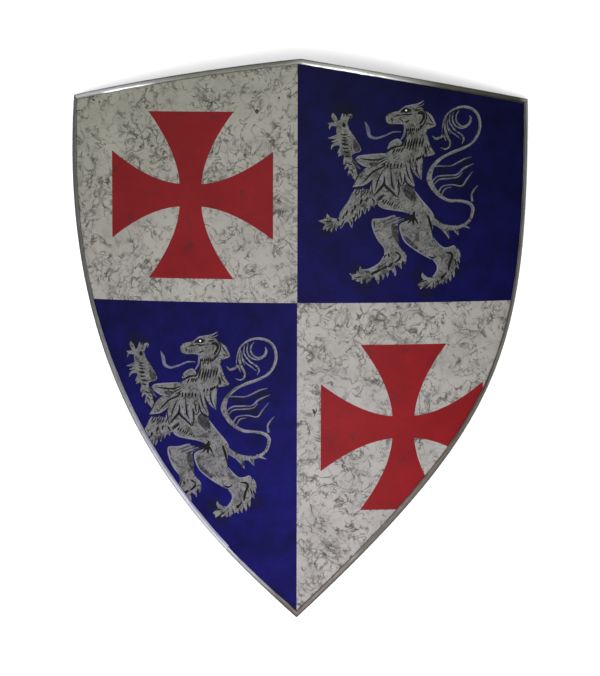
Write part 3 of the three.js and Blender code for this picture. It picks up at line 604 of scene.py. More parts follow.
LION_INK = {
    "head": [
        [(-0.9, 83.2, 0.5), (2, 85.1, 3.6), (5, 85.6, 5.2), (8, 85.7, 3.6), (9.6, 86.8, 0.6)],
        [(0, 81.6, 0.5), (5.6, 81.3, 1.6), (11.6, 81.7, 0.5)],
        [(-7.6, 79, 0.4), (-2.8, 80.9, 1.3), (1.4, 80, 0.4)],
        [(-10, 78.2, 0.8), (-9, 76, 1.6), (-9.6, 74, 0.5)],
        [(3.4, 73.8, 0.6), (6, 74.5, 1.8), (8.1, 76, 0.5)],
        [(12.4, 85.8, 0.5), (16, 85.6, 1.8), (20.2, 87.1, 0.5)],
        [(15.4, 88.4, 0.4), (18.8, 88.9, 1.2), (21.8, 90.6, 0.4)],
        [(14, 90.6, 0.3), (18, 91, 0.9), (22, 92.9, 0.3)],
        [(16.2, 82.4, 1.6), (19.6, 83.4, 3.4), (22.3, 81.6, 3.2), (22.4, 78, 2.5),
         (19.9, 73.8, 2), (18.4, 71.4, 0.6)],
        [(20, 72, 0.4), (19.6, 69.4, 1.8), (18.2, 65.8, 0.6)],
        [(26.4, 81.6, 0.5), (29.4, 76.4, 1.4), (32.8, 71.8, 0.4)],
        [(25.6, 52.4, 0.5), (27, 47.6, 1.2), (30, 43.6, 0.4)],
        [(20.6, 87, 0.5), (24, 83.8, 1.3), (25.4, 79.4, 1.5), (24.1, 75, 1.4), (22, 71, 1.4),
         (19.6, 67.2, 0.5)],
        [(27, 73, 0.4), (29.6, 71.6, 1.3), (33, 70.9, 0.4)],
        [(5.4, 66, 0.5), (5.1, 60.6, 1.3), (2.9, 55.6, 1.4), (2, 52.4, 0.6)],
        [(-14.6, 44.8, 0.5), (-8.8, 48.2, 1.6), (-4, 49.9, 1.6), (0.6, 50.2, 1.6),
         (2.6, 53.4, 0.6)],
        [(-13, 73, 0.4), (-10, 71.2, 1.2), (-6, 71.4, 0.5)],
    ],
    "raised_arm": [
        [(-56.6, 73.6, 0.8), (-56.2, 71, 4), (-55.8, 68.6, 0.8)],
        [(-58.6, 61.8, 0.5), (-55.5, 61.2, 1.6), (-52.4, 61.6, 0.4)],
        [(-58, 58.8, 0.5), (-55.6, 58.4, 1.3), (-53, 58.6, 0.4)],
        [(-58.6, 56.4, 0.5), (-55.6, 55.7, 1.6), (-52.4, 56, 0.4)],
        [(-58.6, 53, 0.6), (-55.6, 51.9, 2.8), (-51.6, 51.4, 0.5)],
        [(-57.6, 48.6, 0.5), (-55, 47.8, 1.9), (-51.2, 48, 0.4)],
        [(-56.2, 44.5, 0.5), (-53.4, 43.8, 1.7), (-50.4, 44, 0.4)],
        [(-55, 40.5, 0.5), (-52.6, 39.8, 1.7), (-49.8, 40, 0.4)],
        [(-53, 33.4, 0.4), (-50, 32, 1.4), (-47.6, 31.6, 0.4)],
        [(-50.6, 27.4, 0.4), (-48.4, 25.6, 1.5), (-46.6, 22, 0.4)],
    ],
    "mane": [
        [(-40.4, 37.7, 0.5), (-33, 36.7, 1.6), (-24, 36.4, 1.6), (-14.5, 39.2, 0.6)],
        [(-38.6, 12.6, 0.4), (-32, 19.8, 1.7), (-27, 24.8, 1.8), (-19, 28.8, 1.8),
         (-14.6, 32, 0.7)],
        [(-22.4, 32.6, 0.4), (-18.6, 35, 1.3), (-14.6, 37, 0.5)],
        [(-20.4, 30.6, 0.4), (-17.4, 32.4, 1.3), (-13.6, 35.2, 0.5)],
        [(-24, 35, 0.4), (-20, 36.8, 1.1), (-16, 38.4, 0.4)],
        [(-46.6, 9.2, 0.4), (-38, 9.6, 1.6), (-31, 13.4, 1.4), (-28.4, 17, 0.5)],
        [(-38.6, 27, 0.5), (-43, 19, 1.2), (-46.6, 11, 0.4)],
        [(-25.3, 5, 0.4), (-23, 15, 1.6), (-18, 26, 0.6)],
        [(-27, 0.2, 0.6), (-22, 6, 2.4), (-16.8, 12.6, 2.5), (-16.4, 20, 1)],
        [(-27.2, 0.6, 0.5), (-28.6, 8, 1.3), (-28.8, 15.6, 0.5)],
        [(-3.2, -1.2, 0.6), (-6.2, 1.7, 1.9), (-10.7, 6, 2), (-15.7, 10.6, 2.2), (-16.8, 17, 0.6)],
        [(-3.2, -1.2, 0.6), (-1.6, 5.2, 1.4), (-1.9, 10, 1.6), (-3, 17, 0.5)],
        [(-10.2, 30, 0.5), (-9.2, 16, 1.8), (-8.5, 11, 1.8), (-6.2, 6.2, 0.5)],
        [(-1, 25, 0.6), (0.4, 17, 1.5), (1, 13, 0.5)],
        [(-2.6, 18, 0.5), (-1.4, 13.2, 1.2), (0.6, 10.6, 1), (3.2, 14, 1.3), (3.6, 23, 0.5)],
        [(4.7, 33.6, 0.5), (6.6, 23, 1.6), (11.6, 12.6, 0.4)],
        [(3.8, 22, 0.5), (5.4, 14.4, 1.5), (9, 10.6, 1.9), (13.2, 8.8, 0.5)],
        [(8.8, 32, 0.5), (10.8, 23.6, 1.7), (15, 13.6, 0.5)],
        [(14.7, 36, 0.7), (15.8, 25.2, 1.7), (19.5, 17.8, 0.5)],
        [(22.4, 38, 0.5), (22.2, 29, 1), (21.4, 20, 0.4)],
    ],
    "foreleg": [
        [(-45.2, 0.4, 0.5), (-43.2, 2.2, 1.6), (-41.6, 4.2, 0.5)],
        [(-40, -0.6, 0.5), (-38.2, 1.4, 1.5), (-36.8, 3.6, 0.5)],
        [(-38, -2.2, 0.8), (-39, -5, 2.6), (-40.2, -8.2, 0.6)],
        [(-33, -0.4, 0.5), (-33.5, -3, 1.9), (-34.4, -6.2, 0.4)],
        [(-44.4, -8.2, 0.6), (-45, -10.5, 2.5), (-45.8, -13.2, 0.5)],
        [(-46.8, -12.4, 0.6), (-47.5, -14.5, 2.1), (-48.4, -17.6, 0.4)],
        [(-52, -13.4, 0.6), (-53, -16, 1.9), (-54, -19.2, 0.4)],
        [(-55.6, -18, 0.4), (-56.2, -20.4, 1.4), (-57, -23, 0.4)],
        [(-62, -21.4, 0.5), (-61.5, -23.2, 2.3), (-60.8, -25.4, 0.5)],
        [(-55.6, -23.4, 0.5), (-57.4, -27.4, 1.5), (-58.6, -31.2, 0.4)],
        [(-50.6, -22.4, 0.5), (-48.4, -26, 1.3), (-48, -30, 0.4)],
        [(-41, -12.4, 0.5), (-40.6, -16, 1.3), (-41, -20, 0.4)],
        [(-44.4, -16, 0.5), (-44.8, -19.6, 1.2), (-45.4, -23, 0.4)],
        [(-35, -9, 0.5), (-35.4, -12.4, 1.3), (-35.6, -16, 0.4)],
        [(-28.6, -1.6, 0.5), (-27, -4, 1.9), (-25.4, -6.8, 0.4)],
        [(-22.8, -4.6, 0.8), (-19.6, -1.6, 2.2), (-16.4, 1.4, 1)],
        [(-66.4, -25.6, 0.5), (-71, -24.8, 1.2), (-76, -25.4, 0.3)],
        [(-67, -27.6, 0.5), (-70.6, -29.4, 1.2), (-74.4, -31.2, 0.3)],
        [(-66.6, -27.6, 0.5), (-69, -31, 1.2), (-70.6, -34, 0.3)],
        [(-64.6, -27, 0.5), (-65, -30.4, 1.2), (-65.2, -33.4, 0.3)],
        [(-70.6, -21.8, 0.4), (-73.6, -21.4, 1.1), (-75.6, -20.4, 0.3)],
    ],
    "hind_legs": [
        [(13.6, -15.4, 1.6), (12.8, -20, 3.4), (12.6, -26, 2.2), (13.2, -29, 0.6)],
        [(13, -18.6, 2.4), (8, -21.4, 3), (3, -21.2, 2), (-3, -19.6, 0.5)],
        [(12, -21.6, 2.6), (9, -25, 2), (6.6, -27.8, 0.5)],
        [(11, -20.6, 2), (6.8, -23.6, 1.5), (3.6, -25, 0.4)],
        [(13.8, -21.4, 2.4), (16.2, -25.6, 1.6), (17.4, -28.4, 0.5)],
        [(27.4, -19.6, 1.6), (28.6, -23.6, 2.5), (30.2, -29, 2.4), (31.3, -34, 1.7),
         (32.2, -39.5, 0.6)],
        [(28, -60, 0.4), (32.5, -62, 2), (37, -60, 0.4)],
        [(45.3, -57, 0.8), (50.3, -57.2, 2.2), (52.4, -60.4, 2.6), (50.8, -65, 2.2),
         (49.2, -70.6, 2.6), (48.7, -75.4, 1)],
        [(46.4, -76.6, 0.8), (45, -79, 1.9), (43.4, -81, 1.4)],
        [(44, -80, 1.6), (42.5, -81.5, 3.6), (41, -83, 1.4)],
        [(54.7, -62.7, 0.5), (55.9, -66, 1.6), (56.8, -70.6, 0.4)],
        [(27, -84.4, 0.5), (23, -85.2, 1.4), (19.2, -86.4, 0.4)],
        [(30, -86.6, 0.5), (27, -89.6, 1.4), (24.4, -92, 0.3)],
        [(33.6, -86.4, 0.5), (33, -89, 1.2), (33, -92, 0.3)],
        [(37, -83.6, 0.5), (38, -87, 1.5), (38.6, -90, 0.3)],
        [(44, -84, 0.4), (44.6, -86, 1.1), (44.8, -88, 0.3)],
        [(48, -81, 0.4), (48.4, -84, 1.2), (48.6, -87, 0.3)],
        [(51.6, -76.6, 0.4), (52.6, -80, 1.2), (52.8, -83, 0.3)],
        [(-5.6, -66.4, 1), (-3, -64.4, 2), (-0.7, -62, 2.3), (-0.4, -59, 1.3), (-3, -56.7, 1.7),
         (-5.7, -55.4, 0.6)],
        [(-29.8, -77.9, 1), (-26, -76.2, 3), (-21, -74, 2.4), (-17.4, -72.2, 0.8)],
        [(-18.6, -72.6, 1), (-15.6, -71.2, 2.8), (-12.4, -69.6, 1)],
        [(-12.2, -70.6, 1), (-9.6, -68.4, 3), (-7.4, -66.4, 1)],
        [(-12, -57, 0.6), (-11.5, -59, 2.1), (-11.2, -61.2, 0.5)],
        [(-16.6, -62.4, 0.5), (-15.4, -60, 1.5), (-14, -57.6, 0.5)],
        [(-37.5, -79.6, 0.5), (-41, -80.4, 1.5), (-45.2, -81.3, 0.4)],
        [(-36.9, -81.6, 0.4), (-36.9, -84, 1.2), (-37, -86.4, 0.3)],
        [(-34.4, -81.4, 0.4), (-34.4, -84, 1.1), (-34.6, -86, 0.3)],
        [(-19.2, -77.6, 0.4), (-19.8, -80.4, 1.5), (-20.6, -83.4, 0.3)],
        [(2.4, -64, 0.5), (2, -67, 1.5), (1.4, -70, 0.3)],
        [(-5, -70.4, 0.4), (-3.4, -73, 1.2), (-3.6, -76, 0.3)],
        [(-27.2, -24.6, 0.4), (-26, -28, 1.3), (-26, -32, 0.4)],
    ],
    "tail": [
        [(33, -21, 0.4), (40, -26, 0.9), (46, -28.8, 0.4)],
        [(45.4, -33.8, 0.4), (47.4, -36.6, 1.3), (48.4, -40, 0.3)],
        [(54.6, -32, 0.4), (56.6, -34.4, 1.2), (57.8, -37.4, 0.3)],
    ],
}

# Rows of dashes: where a row starts and ends, each dash's run, its width, and how many.
LION_HATCHES = [
    ((5.4, 67.8), (17, 68.2), (-0.3, -4.4), 1.6, 7),
    ((8, 64), (12.6, 64.4), (-0.4, -3.2), 1.3, 3),
    ((5.6, 57.2), (22.6, 58.4), (-2.8, -11.4), 2.0, 7),
    ((-5.6, 47.4), (2.2, 48.4), (-2.7, -5), 1.7, 4),
    ((-16.4, 33.4), (0.4, 33.2), (-0.9, -5), 1.8, 6),
    ((9, 37), (16, 38.6), (-0.9, -4.4), 1.6, 3),
    ((17.6, 39.4), (22.4, 41.6), (-1.6, -4.4), 2.2, 3),
    ((23.6, 49), (24.6, 45), (1, -3.6), 1.9, 3),
    ((-18.2, -6.6), (-9.6, -10), (2.8, 4.8), 1.5, 5),
    ((-7.4, -10.8), (-2.8, -12.4), (2, 3.2), 1.1, 3),
    ((-45.6, 2.4), (-31, 1.4), (2, 4.6), 1.4, 6),
    ((4.4, 8.4), (14, 0), (1.4, -5), 0.8, 6),
]
LION_FUR = [
    ((-46.6, 3), (-31.4, 2.4), (1.8, 5.4), 1.6, 9),
]

# Soft dark smudges beside the lion: x, y and reach.
LION_SMUDGES = [(-62, 83, 13), (-52, 84, 9), (-73, -34, 10), (-36, -88, 12), (-44, -72, 8),
                (18, -80, 10), (26, -94, 12), (60, -76, 9), (44, 24, 9), (66, 32, 10), (58, 14, 9)]

# The light in the eye, and the step from a flame of the tail to the dark line under it.
LION_GLINT = [(3.9, 85.5), (4.9, 86.5), (5.9, 85.5), (4.9, 84.5)]
UNDER_FLAME = (1.0, -1.7, 0.0)

# Single drips and spatters on the white paint, as strokes about the centre of the cross near
# them, in units of which a cross is CROSS_SPAN across.
CROSS_SPAN = 161.2
UPPER_MARKS = [
    [(65.4, 83.2, 1.4), (65, 81, 4), (64.8, 78.8, 1.2)],
    [(86, 95.2, 0.6), (86.2, 94, 2), (86, 92.8, 0.5)],
    [(-51.4, 47.4, 0.6), (-50.6, 46.2, 2.2), (-49.8, 45, 0.5)],
    [(-39.4, 48, 0.5), (-38.6, 47, 1.8), (-37.8, 46.2, 0.5)],
    [(-102, 92, 0.5), (-100.4, 91, 2), (-98.6, 90.6, 0.5)],
    [(-95, 90, 0.5), (-94, 89, 1.6), (-93.4, 87.8, 0.4)],
    [(-32, 121.6, 0.5), (-31, 121, 1.8), (-29.8, 120.6, 0.4)],
    [(-111, 97, 0.6), (-107, 98.2, 2.4), (-102.6, 98.6, 0.4)],
]
LOWER_MARKS = [
    [(-88.6, 18.4, 0.8), (-87, 15.8, 2.6), (-86.2, 12.6, 0.6)],
    [(-85.4, 19.6, 0.4), (-84.6, 16.8, 1), (-86.4, 13.6, 0.8), (-87.4, 9.4, 0.3)],
]

# The two middle control points of a cross's flare, as shares: of the cross's half width and
# the arm's end for the first, of the half width and the neck for the second.
FLARE_OUTER = (0.662, 0.508)
FLARE_INNER = (0.375, 1.12)


def lion_layers():
    """The lion as (paint, outline) pairs in drawing units, from the lowest paint up."""
    def strokes(paint, groups):
        return [(paint, brush(stroke)) for group in groups.values() for stroke in group]

    layers = [("lion_silver", blob(points)) for points in LION_BLOBS.values()]
    layers += [("ink", brush(np.array(flame) + UNDER_FLAME)) for flame in LION_FADED["flames"]]
    layers += strokes("lion_silver", LION_STROKES) + strokes("lion_faded", LION_FADED)
    layers += strokes("lion_shade", LION_SHADE) + strokes("lion_edge", LION_EDGES)
    layers += strokes("ink", LION_INK)
    for paint, rows in (("lion_silver", LION_FUR), ("ink", LION_HATCHES)):
        for seed, row in enumerate(rows):
            layers += [(paint, loop) for loop in hatch(*row, seed)]
    layers.append(("glint", blob(LION_GLINT)))
    return layers


def cross_loop(centre, half, arm, neck):
    """A cross pattée about its centre: each flare is a cubic from an arm's end, where its half
    width is arm, in to the neck, and the arm is turned by quarter turns for the other three."""
    flare = bezier([(half, arm), (half * FLARE_OUTER[0], arm * FLARE_OUTER[1]),
                    (half * FLARE_INNER[0], neck * FLARE_INNER[1]), (neck, neck)], 20)
    mirror = flare[::-1, ::-1]
    quarter = np.vstack([flare, mirror[1:]])
    turns = [np.array([[c, -s], [s, c]]) for c, s in ((1, 0), (0, 1), (-1, 0), (0, -1))]
    return np.vstack([quarter @ turn.T for turn in turns]) + centre


def painted_layers():
    """All the paint over the quarters' ground, as (paint, outline) pairs in flat metres."""
    _, look, _ = settings()
    size = (look.cross_half, look.cross_arm, look.cross_neck)
    upper = np.array([-look.cross_x, look.cross_y])
    lower = np.array([look.low_cross_x, -look.low_cross_y])
    layers = [("cross_red", cross_loop(centre, *size)) for centre in (upper, lower)]
    mark_unit = 2 * look.cross_half / CROSS_SPAN
    for centre, marks in ((upper, UPPER_MARKS), (lower, LOWER_MARKS)):
        layers += [("spatter", brush(mark) * mark_unit + centre) for mark in marks]
    unit = np.array([look.lion_unit_x, look.lion_unit_y])
    middle = np.array([look.lion_x, look.lion_y])
    shift = np.array([look.lion_shift_x, look.lion_shift_y])
    for centre in (middle, middle - shift):
        layers += [(paint, loop * unit + centre) for paint, loop in lion_layers()]
    return layers


def inside(points, loop):
    """Whether each point is inside a loop: the signed crossings of its level by the loop's
    edges to its right don't cancel out."""
    hit = np.zeros(len(points), bool)
    low, high = loop.min(axis=0), loop.max(axis=0)
    near = np.all((points >= low) & (points <= high), axis=1)
    p = points[near][:, None, :]
    a, b = loop[None], np.roll(loop, -1, axis=0)[None]
    side = ((b[..., 0] - a[..., 0]) * (p[..., 1] - a[..., 1])
            - (p[..., 0] - a[..., 0]) * (b[..., 1] - a[..., 1]))
    up = (a[..., 1] <= p[..., 1]) & (b[..., 1] > p[..., 1]) & (side > 0)
    down = (a[..., 1] > p[..., 1]) & (b[..., 1] <= p[..., 1]) & (side < 0)
    hit[near] = (up.sum(axis=1) - down.sum(axis=1)) != 0
    return hit


def triangulated(loops, lines):
    """Triangles whose edges follow every loop and line: a constrained Delaunay triangulation,
    worked out in millimetres."""
    points, edges = [], []
    for loop in loops:
        first = len(points)
        points += [Vector(p) for p in (loop * 1000).tolist()]
        edges += [(first + k, first + (k + 1) % len(loop)) for k in range(len(loop))]
    for a, b in lines:
        edges.append((len(points), len(points) + 1))
        points += [Vector(a) * 1000, Vector(b) * 1000]
    places, _, faces, *_ = delaunay_2d_cdt(points, edges, [], 0, 1e-4)
    flat = np.array([tuple(p) for p in places]) / 1000
    triangles = np.array([face for face in faces if len(face) == 3])
    return flat, triangles


def new_object(name, vertices, faces, materials, smooth=True):
    """A mesh object at the origin from arrays of places and faces."""
    mesh = bpy.data.meshes.new(name)
    mesh.from_pydata(vertices.tolist(), [], [tuple(face) for face in faces])
    for material in materials:
        mesh.materials.append(material)
    mesh.polygons.foreach_set("use_smooth", [smooth] * len(mesh.polygons))
    piece = bpy.data.objects.new(name, mesh)
    bpy.context.collection.objects.link(piece)
    return piece


def set_map(mesh, name, places):
    """Gives the mesh a UV map from one flat place for each vertex."""
    layer = mesh.uv_layers.new(name=name)
    corners = np.empty(len(mesh.loops), int)
    mesh.loops.foreach_get("vertex_index", corners)
    layer.data.foreach_set("uv", places[corners].astype(np.float32).ravel())


def plate_arrays():
    """The plate's places, faces, paints and normals. The flat outline, cut by all the paint's
    outlines and by evenly spaced upright lines, is bent at plus and minus half the sheet, and
    the two skins are joined by a wall along the boundary."""
    form, _, _ = settings()
    loop, _ = outline(OUTLINE_STEP)
    inset = form.plate / 2 + form.fit_gap + form.rim_sheet
    edge = loop + inward_steps(loop) * inset
    layers = painted_layers()
    low, high = edge.min(axis=0), edge.max(axis=0)
    cuts = np.arange(math.ceil(low[0] / SKIN_STEP), math.floor(high[0] / SKIN_STEP) + 1)
    lines = [((x, low[1] - SKIN_STEP), (x, high[1] + SKIN_STEP)) for x in cuts * SKIN_STEP]
    lines.append(((low[0] - SKIN_STEP, 0.0), (high[0] + SKIN_STEP, 0.0)))
    flat, triangles = triangulated([edge] + [line for _, line in layers], lines)
    middle = flat[triangles].mean(axis=1)
    keep = inside(middle, edge)
    triangles, middle = triangles[keep], middle[keep]
    used, triangles = np.unique(triangles, return_inverse=True)
    triangles = triangles.reshape(-1, 3)
    flat = flat[used]
    paint = np.where(middle[:, 0] * middle[:, 1] < 0, 0, 1)
    for name, line in layers:
        paint[inside(middle, line)] = PAINTS.index(name)
    edges = np.vstack([triangles[:, [0, 1]], triangles[:, [1, 2]], triangles[:, [2, 0]]])
    _, first, counts = np.unique(np.sort(edges, axis=1), axis=0, return_index=True,
                                 return_counts=True)
    rim = edges[first[counts == 1]]
    size = len(flat)
    half = form.plate / 2
    places = np.vstack([bent(flat[:, 0], flat[:, 1], half), bent(flat[:, 0], flat[:, 1], -half)])
    walls = np.column_stack([rim[:, 1], rim[:, 0], rim[:, 0] + size, rim[:, 1] + size])
    faces = triangles.tolist() + (triangles[:, ::-1] + size).tolist() + walls.tolist()
    primer = PAINTS.index("back_primer")
    paints = np.concatenate([paint, np.full(len(triangles) + len(walls), primer)])
    outward = flat[rim[:, 1]] - flat[rim[:, 0]]
    outward = np.column_stack([outward[:, 1], -outward[:, 0], 0 * outward[:, 0]])
    outward /= np.maximum(np.linalg.norm(outward, axis=1, keepdims=True), 1e-12)
    turn = np.array(laid_down())[:3, :3]
    normals = np.vstack([bent_normal(flat[triangles.ravel(), 0], 1.0),
                         bent_normal(flat[triangles[:, ::-1].ravel(), 0], -1.0),
                         np.repeat(outward @ turn.T, 4, axis=0)])
    return places, faces, paints, normals, np.vstack([flat, flat])


def channel_profile(rounds=14):
    """The channel's section as three rows: how far each point follows the flange's width, its
    own offset inwards, and its height. The fold is a half circle about the plate's edge, the
    lips are small half circles, and the outer flanges are a little domed."""
    form, _, _ = settings()
    outer = form.plate / 2 + form.fit_gap + form.rim_sheet
    inner = outer - form.rim_sheet
    round_lip = form.rim_sheet / 2
    dome = form.rim_sheet * 0.2

    def row(follow, offset, height):
        return np.stack(np.broadcast_arrays(follow, offset, height), axis=-1)

    turn = np.linspace(0.5 * math.pi, 1.5 * math.pi, rounds + 1)
    lip = np.linspace(-0.5 * math.pi, 0.5 * math.pi, 6)
    flange = np.linspace(1.0, 0.0, 7)[1:-1]
    swell = dome * np.sin(math.pi * flange)
    front_lip = row(1.0, round_lip * (np.cos(lip) - 1), inner + round_lip * (1 + np.sin(lip)))
    front = row(flange, -round_lip * flange, outer + swell)
    fold = row(0.0, outer * np.cos(turn), outer * np.sin(turn))
    back = row(flange[::-1], -round_lip * flange[::-1], -outer)
    back_lip = row(1.0, round_lip * (np.cos(lip) - 1), -outer + round_lip * (1 + np.sin(lip)))
    under = row(0.0, inner * np.cos(turn[::-1]), inner * np.sin(turn[::-1]))
    return np.vstack([front_lip, front, fold, back, back_lip, under])


def strip_arrays(first, last, widths, seed):
    """A strip of edging between two marks of the outline: the section carried along it on
    mitred steps, with the lip a little wavy, and closed at both ends."""
    form, _, _ = settings()
    loop, marks = outline(OUTLINE_STEP)
    steps = inward_steps(loop)
    at = np.arange(marks[first], marks[last] + 1)
    path, inwards = loop[at % len(loop)].copy(), steps[at % len(loop)]
    start, end = path[1] - path[0], path[-2] - path[-1]
    path[0] += start / np.linalg.norm(start) * form.seam_gap / 2
    path[-1] += end / np.linalg.norm(end) * form.seam_gap / 2
    along = distances(path)
    width = np.interp(along, *np.array(widths(along[-1])).T)
    outer = form.plate / 2 + form.fit_gap + form.rim_sheet
    width = width + wave(along, (0.031, 0.047, 0.013), seed) * form.lip_wander
    lift = wave(along, (0.043, 0.027, 0.075), seed + 1) * form.lip_lift
    follow, offset, height = channel_profile().T
    deep = outer + (width[:, None] - outer) * follow + offset
    high = height + np.where(height > 0, 1.0, 0.0) * follow * lift[:, None]
    s = path[:, :1] + inwards[:, :1] * deep
    v = path[:, 1:] + inwards[:, 1:] * deep
    places = bent(s, v, high)
    rows, size = s.shape
    index = np.arange(rows * size).reshape(rows, size)
    beside = np.roll(index, -1, axis=1)
    sides = np.stack([index[:-1], index[1:], beside[1:], beside[:-1]], axis=-1).reshape(-1, 4)
    around = np.concatenate([[0.0], np.cumsum(np.hypot(np.diff(deep[0]), np.diff(height)))])
    flat = np.stack(np.broadcast_arrays(along[:, None], around[None, :]), axis=-1)
    faces = sides.tolist() + [index[0].tolist(), index[-1][::-1].tolist()]
    return places.reshape(-1, 3), faces, flat.reshape(-1, 2)


def turned_out(mesh):
    """Turns all faces of a closed mesh so that they point outwards."""
    work = bmesh.new()
    work.from_mesh(mesh)
    bmesh.ops.recalc_face_normals(work, faces=work.faces)
    work.to_mesh(mesh)
    work.free()


# The edging's painted reflections and shade, as (share of the strip's length, linear colour):
# bright streaks where lights would mirror in the steel and dark stretches where it faces away from
# them. For each strip first the flange's outer half, then its inner half.
TOP_PAINTED_REFLECTIONS = [(0.0, (0.3, 0.3, 0.3)), (0.06, (0.26, 0.26, 0.27)), (0.17, (0.16, 0.16, 0.155)),
             (0.24, (0.09, 0.092, 0.075)), (0.47, (0.07, 0.072, 0.058)),
             (0.50, (0.13, 0.13, 0.115)), (0.62, (0.26, 0.26, 0.25)), (0.72, (0.18, 0.18, 0.17)),
             (0.80, (0.05, 0.046, 0.034)), (0.98, (0.04, 0.037, 0.027)), (1.0, (0.3, 0.3, 0.3))]
TOP_INNER_PAINTED_REFLECTIONS = [(0.0, (0.14, 0.14, 0.135)), (0.065, (0.18, 0.18, 0.175)), (0.085, (0.8, 0.8, 0.8)),
             (0.16, (0.55, 0.55, 0.55)), (0.19, (0.13, 0.13, 0.12)), (0.26, (0.07, 0.07, 0.058)),
             (0.50, (0.055, 0.055, 0.046)), (0.53, (0.5, 0.5, 0.49)), (0.66, (0.42, 0.42, 0.41)),
             (0.74, (0.14, 0.14, 0.13)), (0.80, (0.012, 0.011, 0.012)),
             (1.0, (0.01, 0.01, 0.012))]
RIGHT_PAINTED_REFLECTIONS = [(0.0, (0.2, 0.2, 0.19)), (0.05, (0.13, 0.132, 0.12)),
               (0.35, (0.15, 0.145, 0.13)), (0.5, (0.11, 0.094, 0.08)),
               (0.85, (0.08, 0.067, 0.06)), (0.89, (0.055, 0.042, 0.04)),
               (0.93, (0.17, 0.163, 0.17)), (1.0, (0.27, 0.27, 0.285))]
RIGHT_INNER_PAINTED_REFLECTIONS = [(0.0, (0.05, 0.05, 0.045)), (0.05, (0.03, 0.03, 0.026)),
               (0.35, (0.024, 0.021, 0.018)), (0.45, (0.03, 0.022, 0.015)),
               (0.6, (0.04, 0.033, 0.028)), (0.85, (0.034, 0.028, 0.025)),
               (0.90, (0.035, 0.026, 0.032)), (1.0, (0.14, 0.135, 0.21))]
LEFT_PAINTED_REFLECTIONS = [(0.0, (0.36, 0.36, 0.39)), (0.22, (0.30, 0.30, 0.33)), (0.34, (0.16, 0.16, 0.17)),
              (0.48, (0.10, 0.10, 0.10)), (0.62, (0.065, 0.065, 0.061)),
              (0.95, (0.062, 0.062, 0.058)), (1.0, (0.11, 0.11, 0.105))]
LEFT_INNER_PAINTED_REFLECTIONS = [(0.0, (0.12, 0.118, 0.185)), (0.22, (0.105, 0.105, 0.16)),
              (0.36, (0.085, 0.085, 0.115)), (0.50, (0.06, 0.06, 0.066)),
              (0.62, (0.04, 0.04, 0.037)), (1.0, (0.04, 0.04, 0.037))]

# The bend above which two faces of the edging meet in a sharp edge.
SHARP_BEND = math.radians(40)

# Tones that lie over the paint and the steel, or show through them, as linear colours.
STAIN = (0.02, 0.012, 0.012)
SMUDGE = (0.004, 0.004, 0.012)
FLECK = (0.014, 0.015, 0.012)
GLINT = (0.6, 0.6, 0.6)
# The dark of the edging's lip and fold: painted shade along the lip where it stands over the
# paint, with some dirt, and tarnish in the fold.
SHADE_AND_TARNISH = (0.035, 0.034, 0.028)
SMEAR = (0.1, 0.1, 0.1)
DIRT = (0.05, 0.047, 0.04)
ROLLED_DARK = (0.16, 0.165, 0.17)
ROLLED_LIGHT = (0.30, 0.30, 0.30)
RUST = (0.10, 0.045, 0.02)


# Materials. Each is a small tree of noise patterns over the piece's own flat map.

def finish(name, roughness, metallic=0.0, gloss=0.05):
    """A new material with its constant gloss set on the shader."""
    material = bpy.data.materials.new(name)
    material.use_nodes = True
    tree = material.node_tree
    shader = tree.nodes["Principled BSDF"]
    shader.inputs["Roughness"].default_value = roughness
    shader.inputs["Metallic"].default_value = metallic
    shader.inputs["Specular IOR Level"].default_value = gloss
    return material, tree, shader


def add(tree, kind, inputs, **options):
    """Adds a node, sets its options, and sets or links its inputs by name or number."""
    node = tree.nodes.new(kind)
    for key, value in options.items():
        setattr(node, key, value)
    for key, value in inputs.items():
        if isinstance(value, bpy.types.NodeSocket):
            tree.links.new(value, node.inputs[key])
        else:
            node.inputs[key].default_value = value
    return node


def map_place(tree, name, stretch=(1.0, 1.0, 1.0), shift=(0.0, 0.0, 0.0)):
    """A place on the piece's own map, stretched and shifted."""
    flat = add(tree, "ShaderNodeUVMap", {}, uv_map=name)
    return add(tree, "ShaderNodeMapping",
               {"Vector": flat.outputs["UV"], "Scale": stretch, "Location": shift}).outputs[0]


def noise(tree, place, size, detail=2.0, rough=0.5, twist=0.0):
    """Noise whose lumps are about size metres across."""
    return add(tree, "ShaderNodeTexNoise",
               {"Vector": place, "Scale": 1 / size, "Detail": detail, "Roughness": rough,
                "Distortion": twist}).outputs["Fac"]


def between(tree, value, low, high, start=0.0, end=1.0):
    """Maps low to high onto start to end, and holds it there beyond."""
    return add(tree, "ShaderNodeMapRange",
               {"Value": value, "From Min": low, "From Max": high, "To Min": start,
                "To Max": end}).outputs["Result"]


def calc(tree, operation, first, second=0.0):
    """One sum on two values."""
    return add(tree, "ShaderNodeMath", {0: first, 1: second}, operation=operation).outputs[0]


def mixed(tree, factor, first, second, blend="MIX"):
    """One colour over another by a factor."""
    def whole(value):
        return value if isinstance(value, bpy.types.NodeSocket) else (*value, 1.0)

    return add(tree, "ShaderNodeMix", {0: factor, 6: whole(first), 7: whole(second)},
               data_type="RGBA", blend_type=blend).outputs[2]


def scaled(tone, factor):
    """A tone times a factor, up to white."""
    return tuple(min(1.0, channel * factor) for channel in tone)


def bump(tree, shader, height, distance, strength):
    """Fine relief that tilts the shading only, a fraction of a millimetre deep."""
    node = add(tree, "ShaderNodeBump",
               {"Height": height, "Distance": distance, "Strength": strength})
    tree.links.new(node.outputs[0], shader.inputs["Normal"])


def paint_relief(tree, shader, place):
    """The soft unevenness of brushed paint."""
    bump(tree, shader, noise(tree, place, 0.004, 2.0), 0.0001, 0.25)


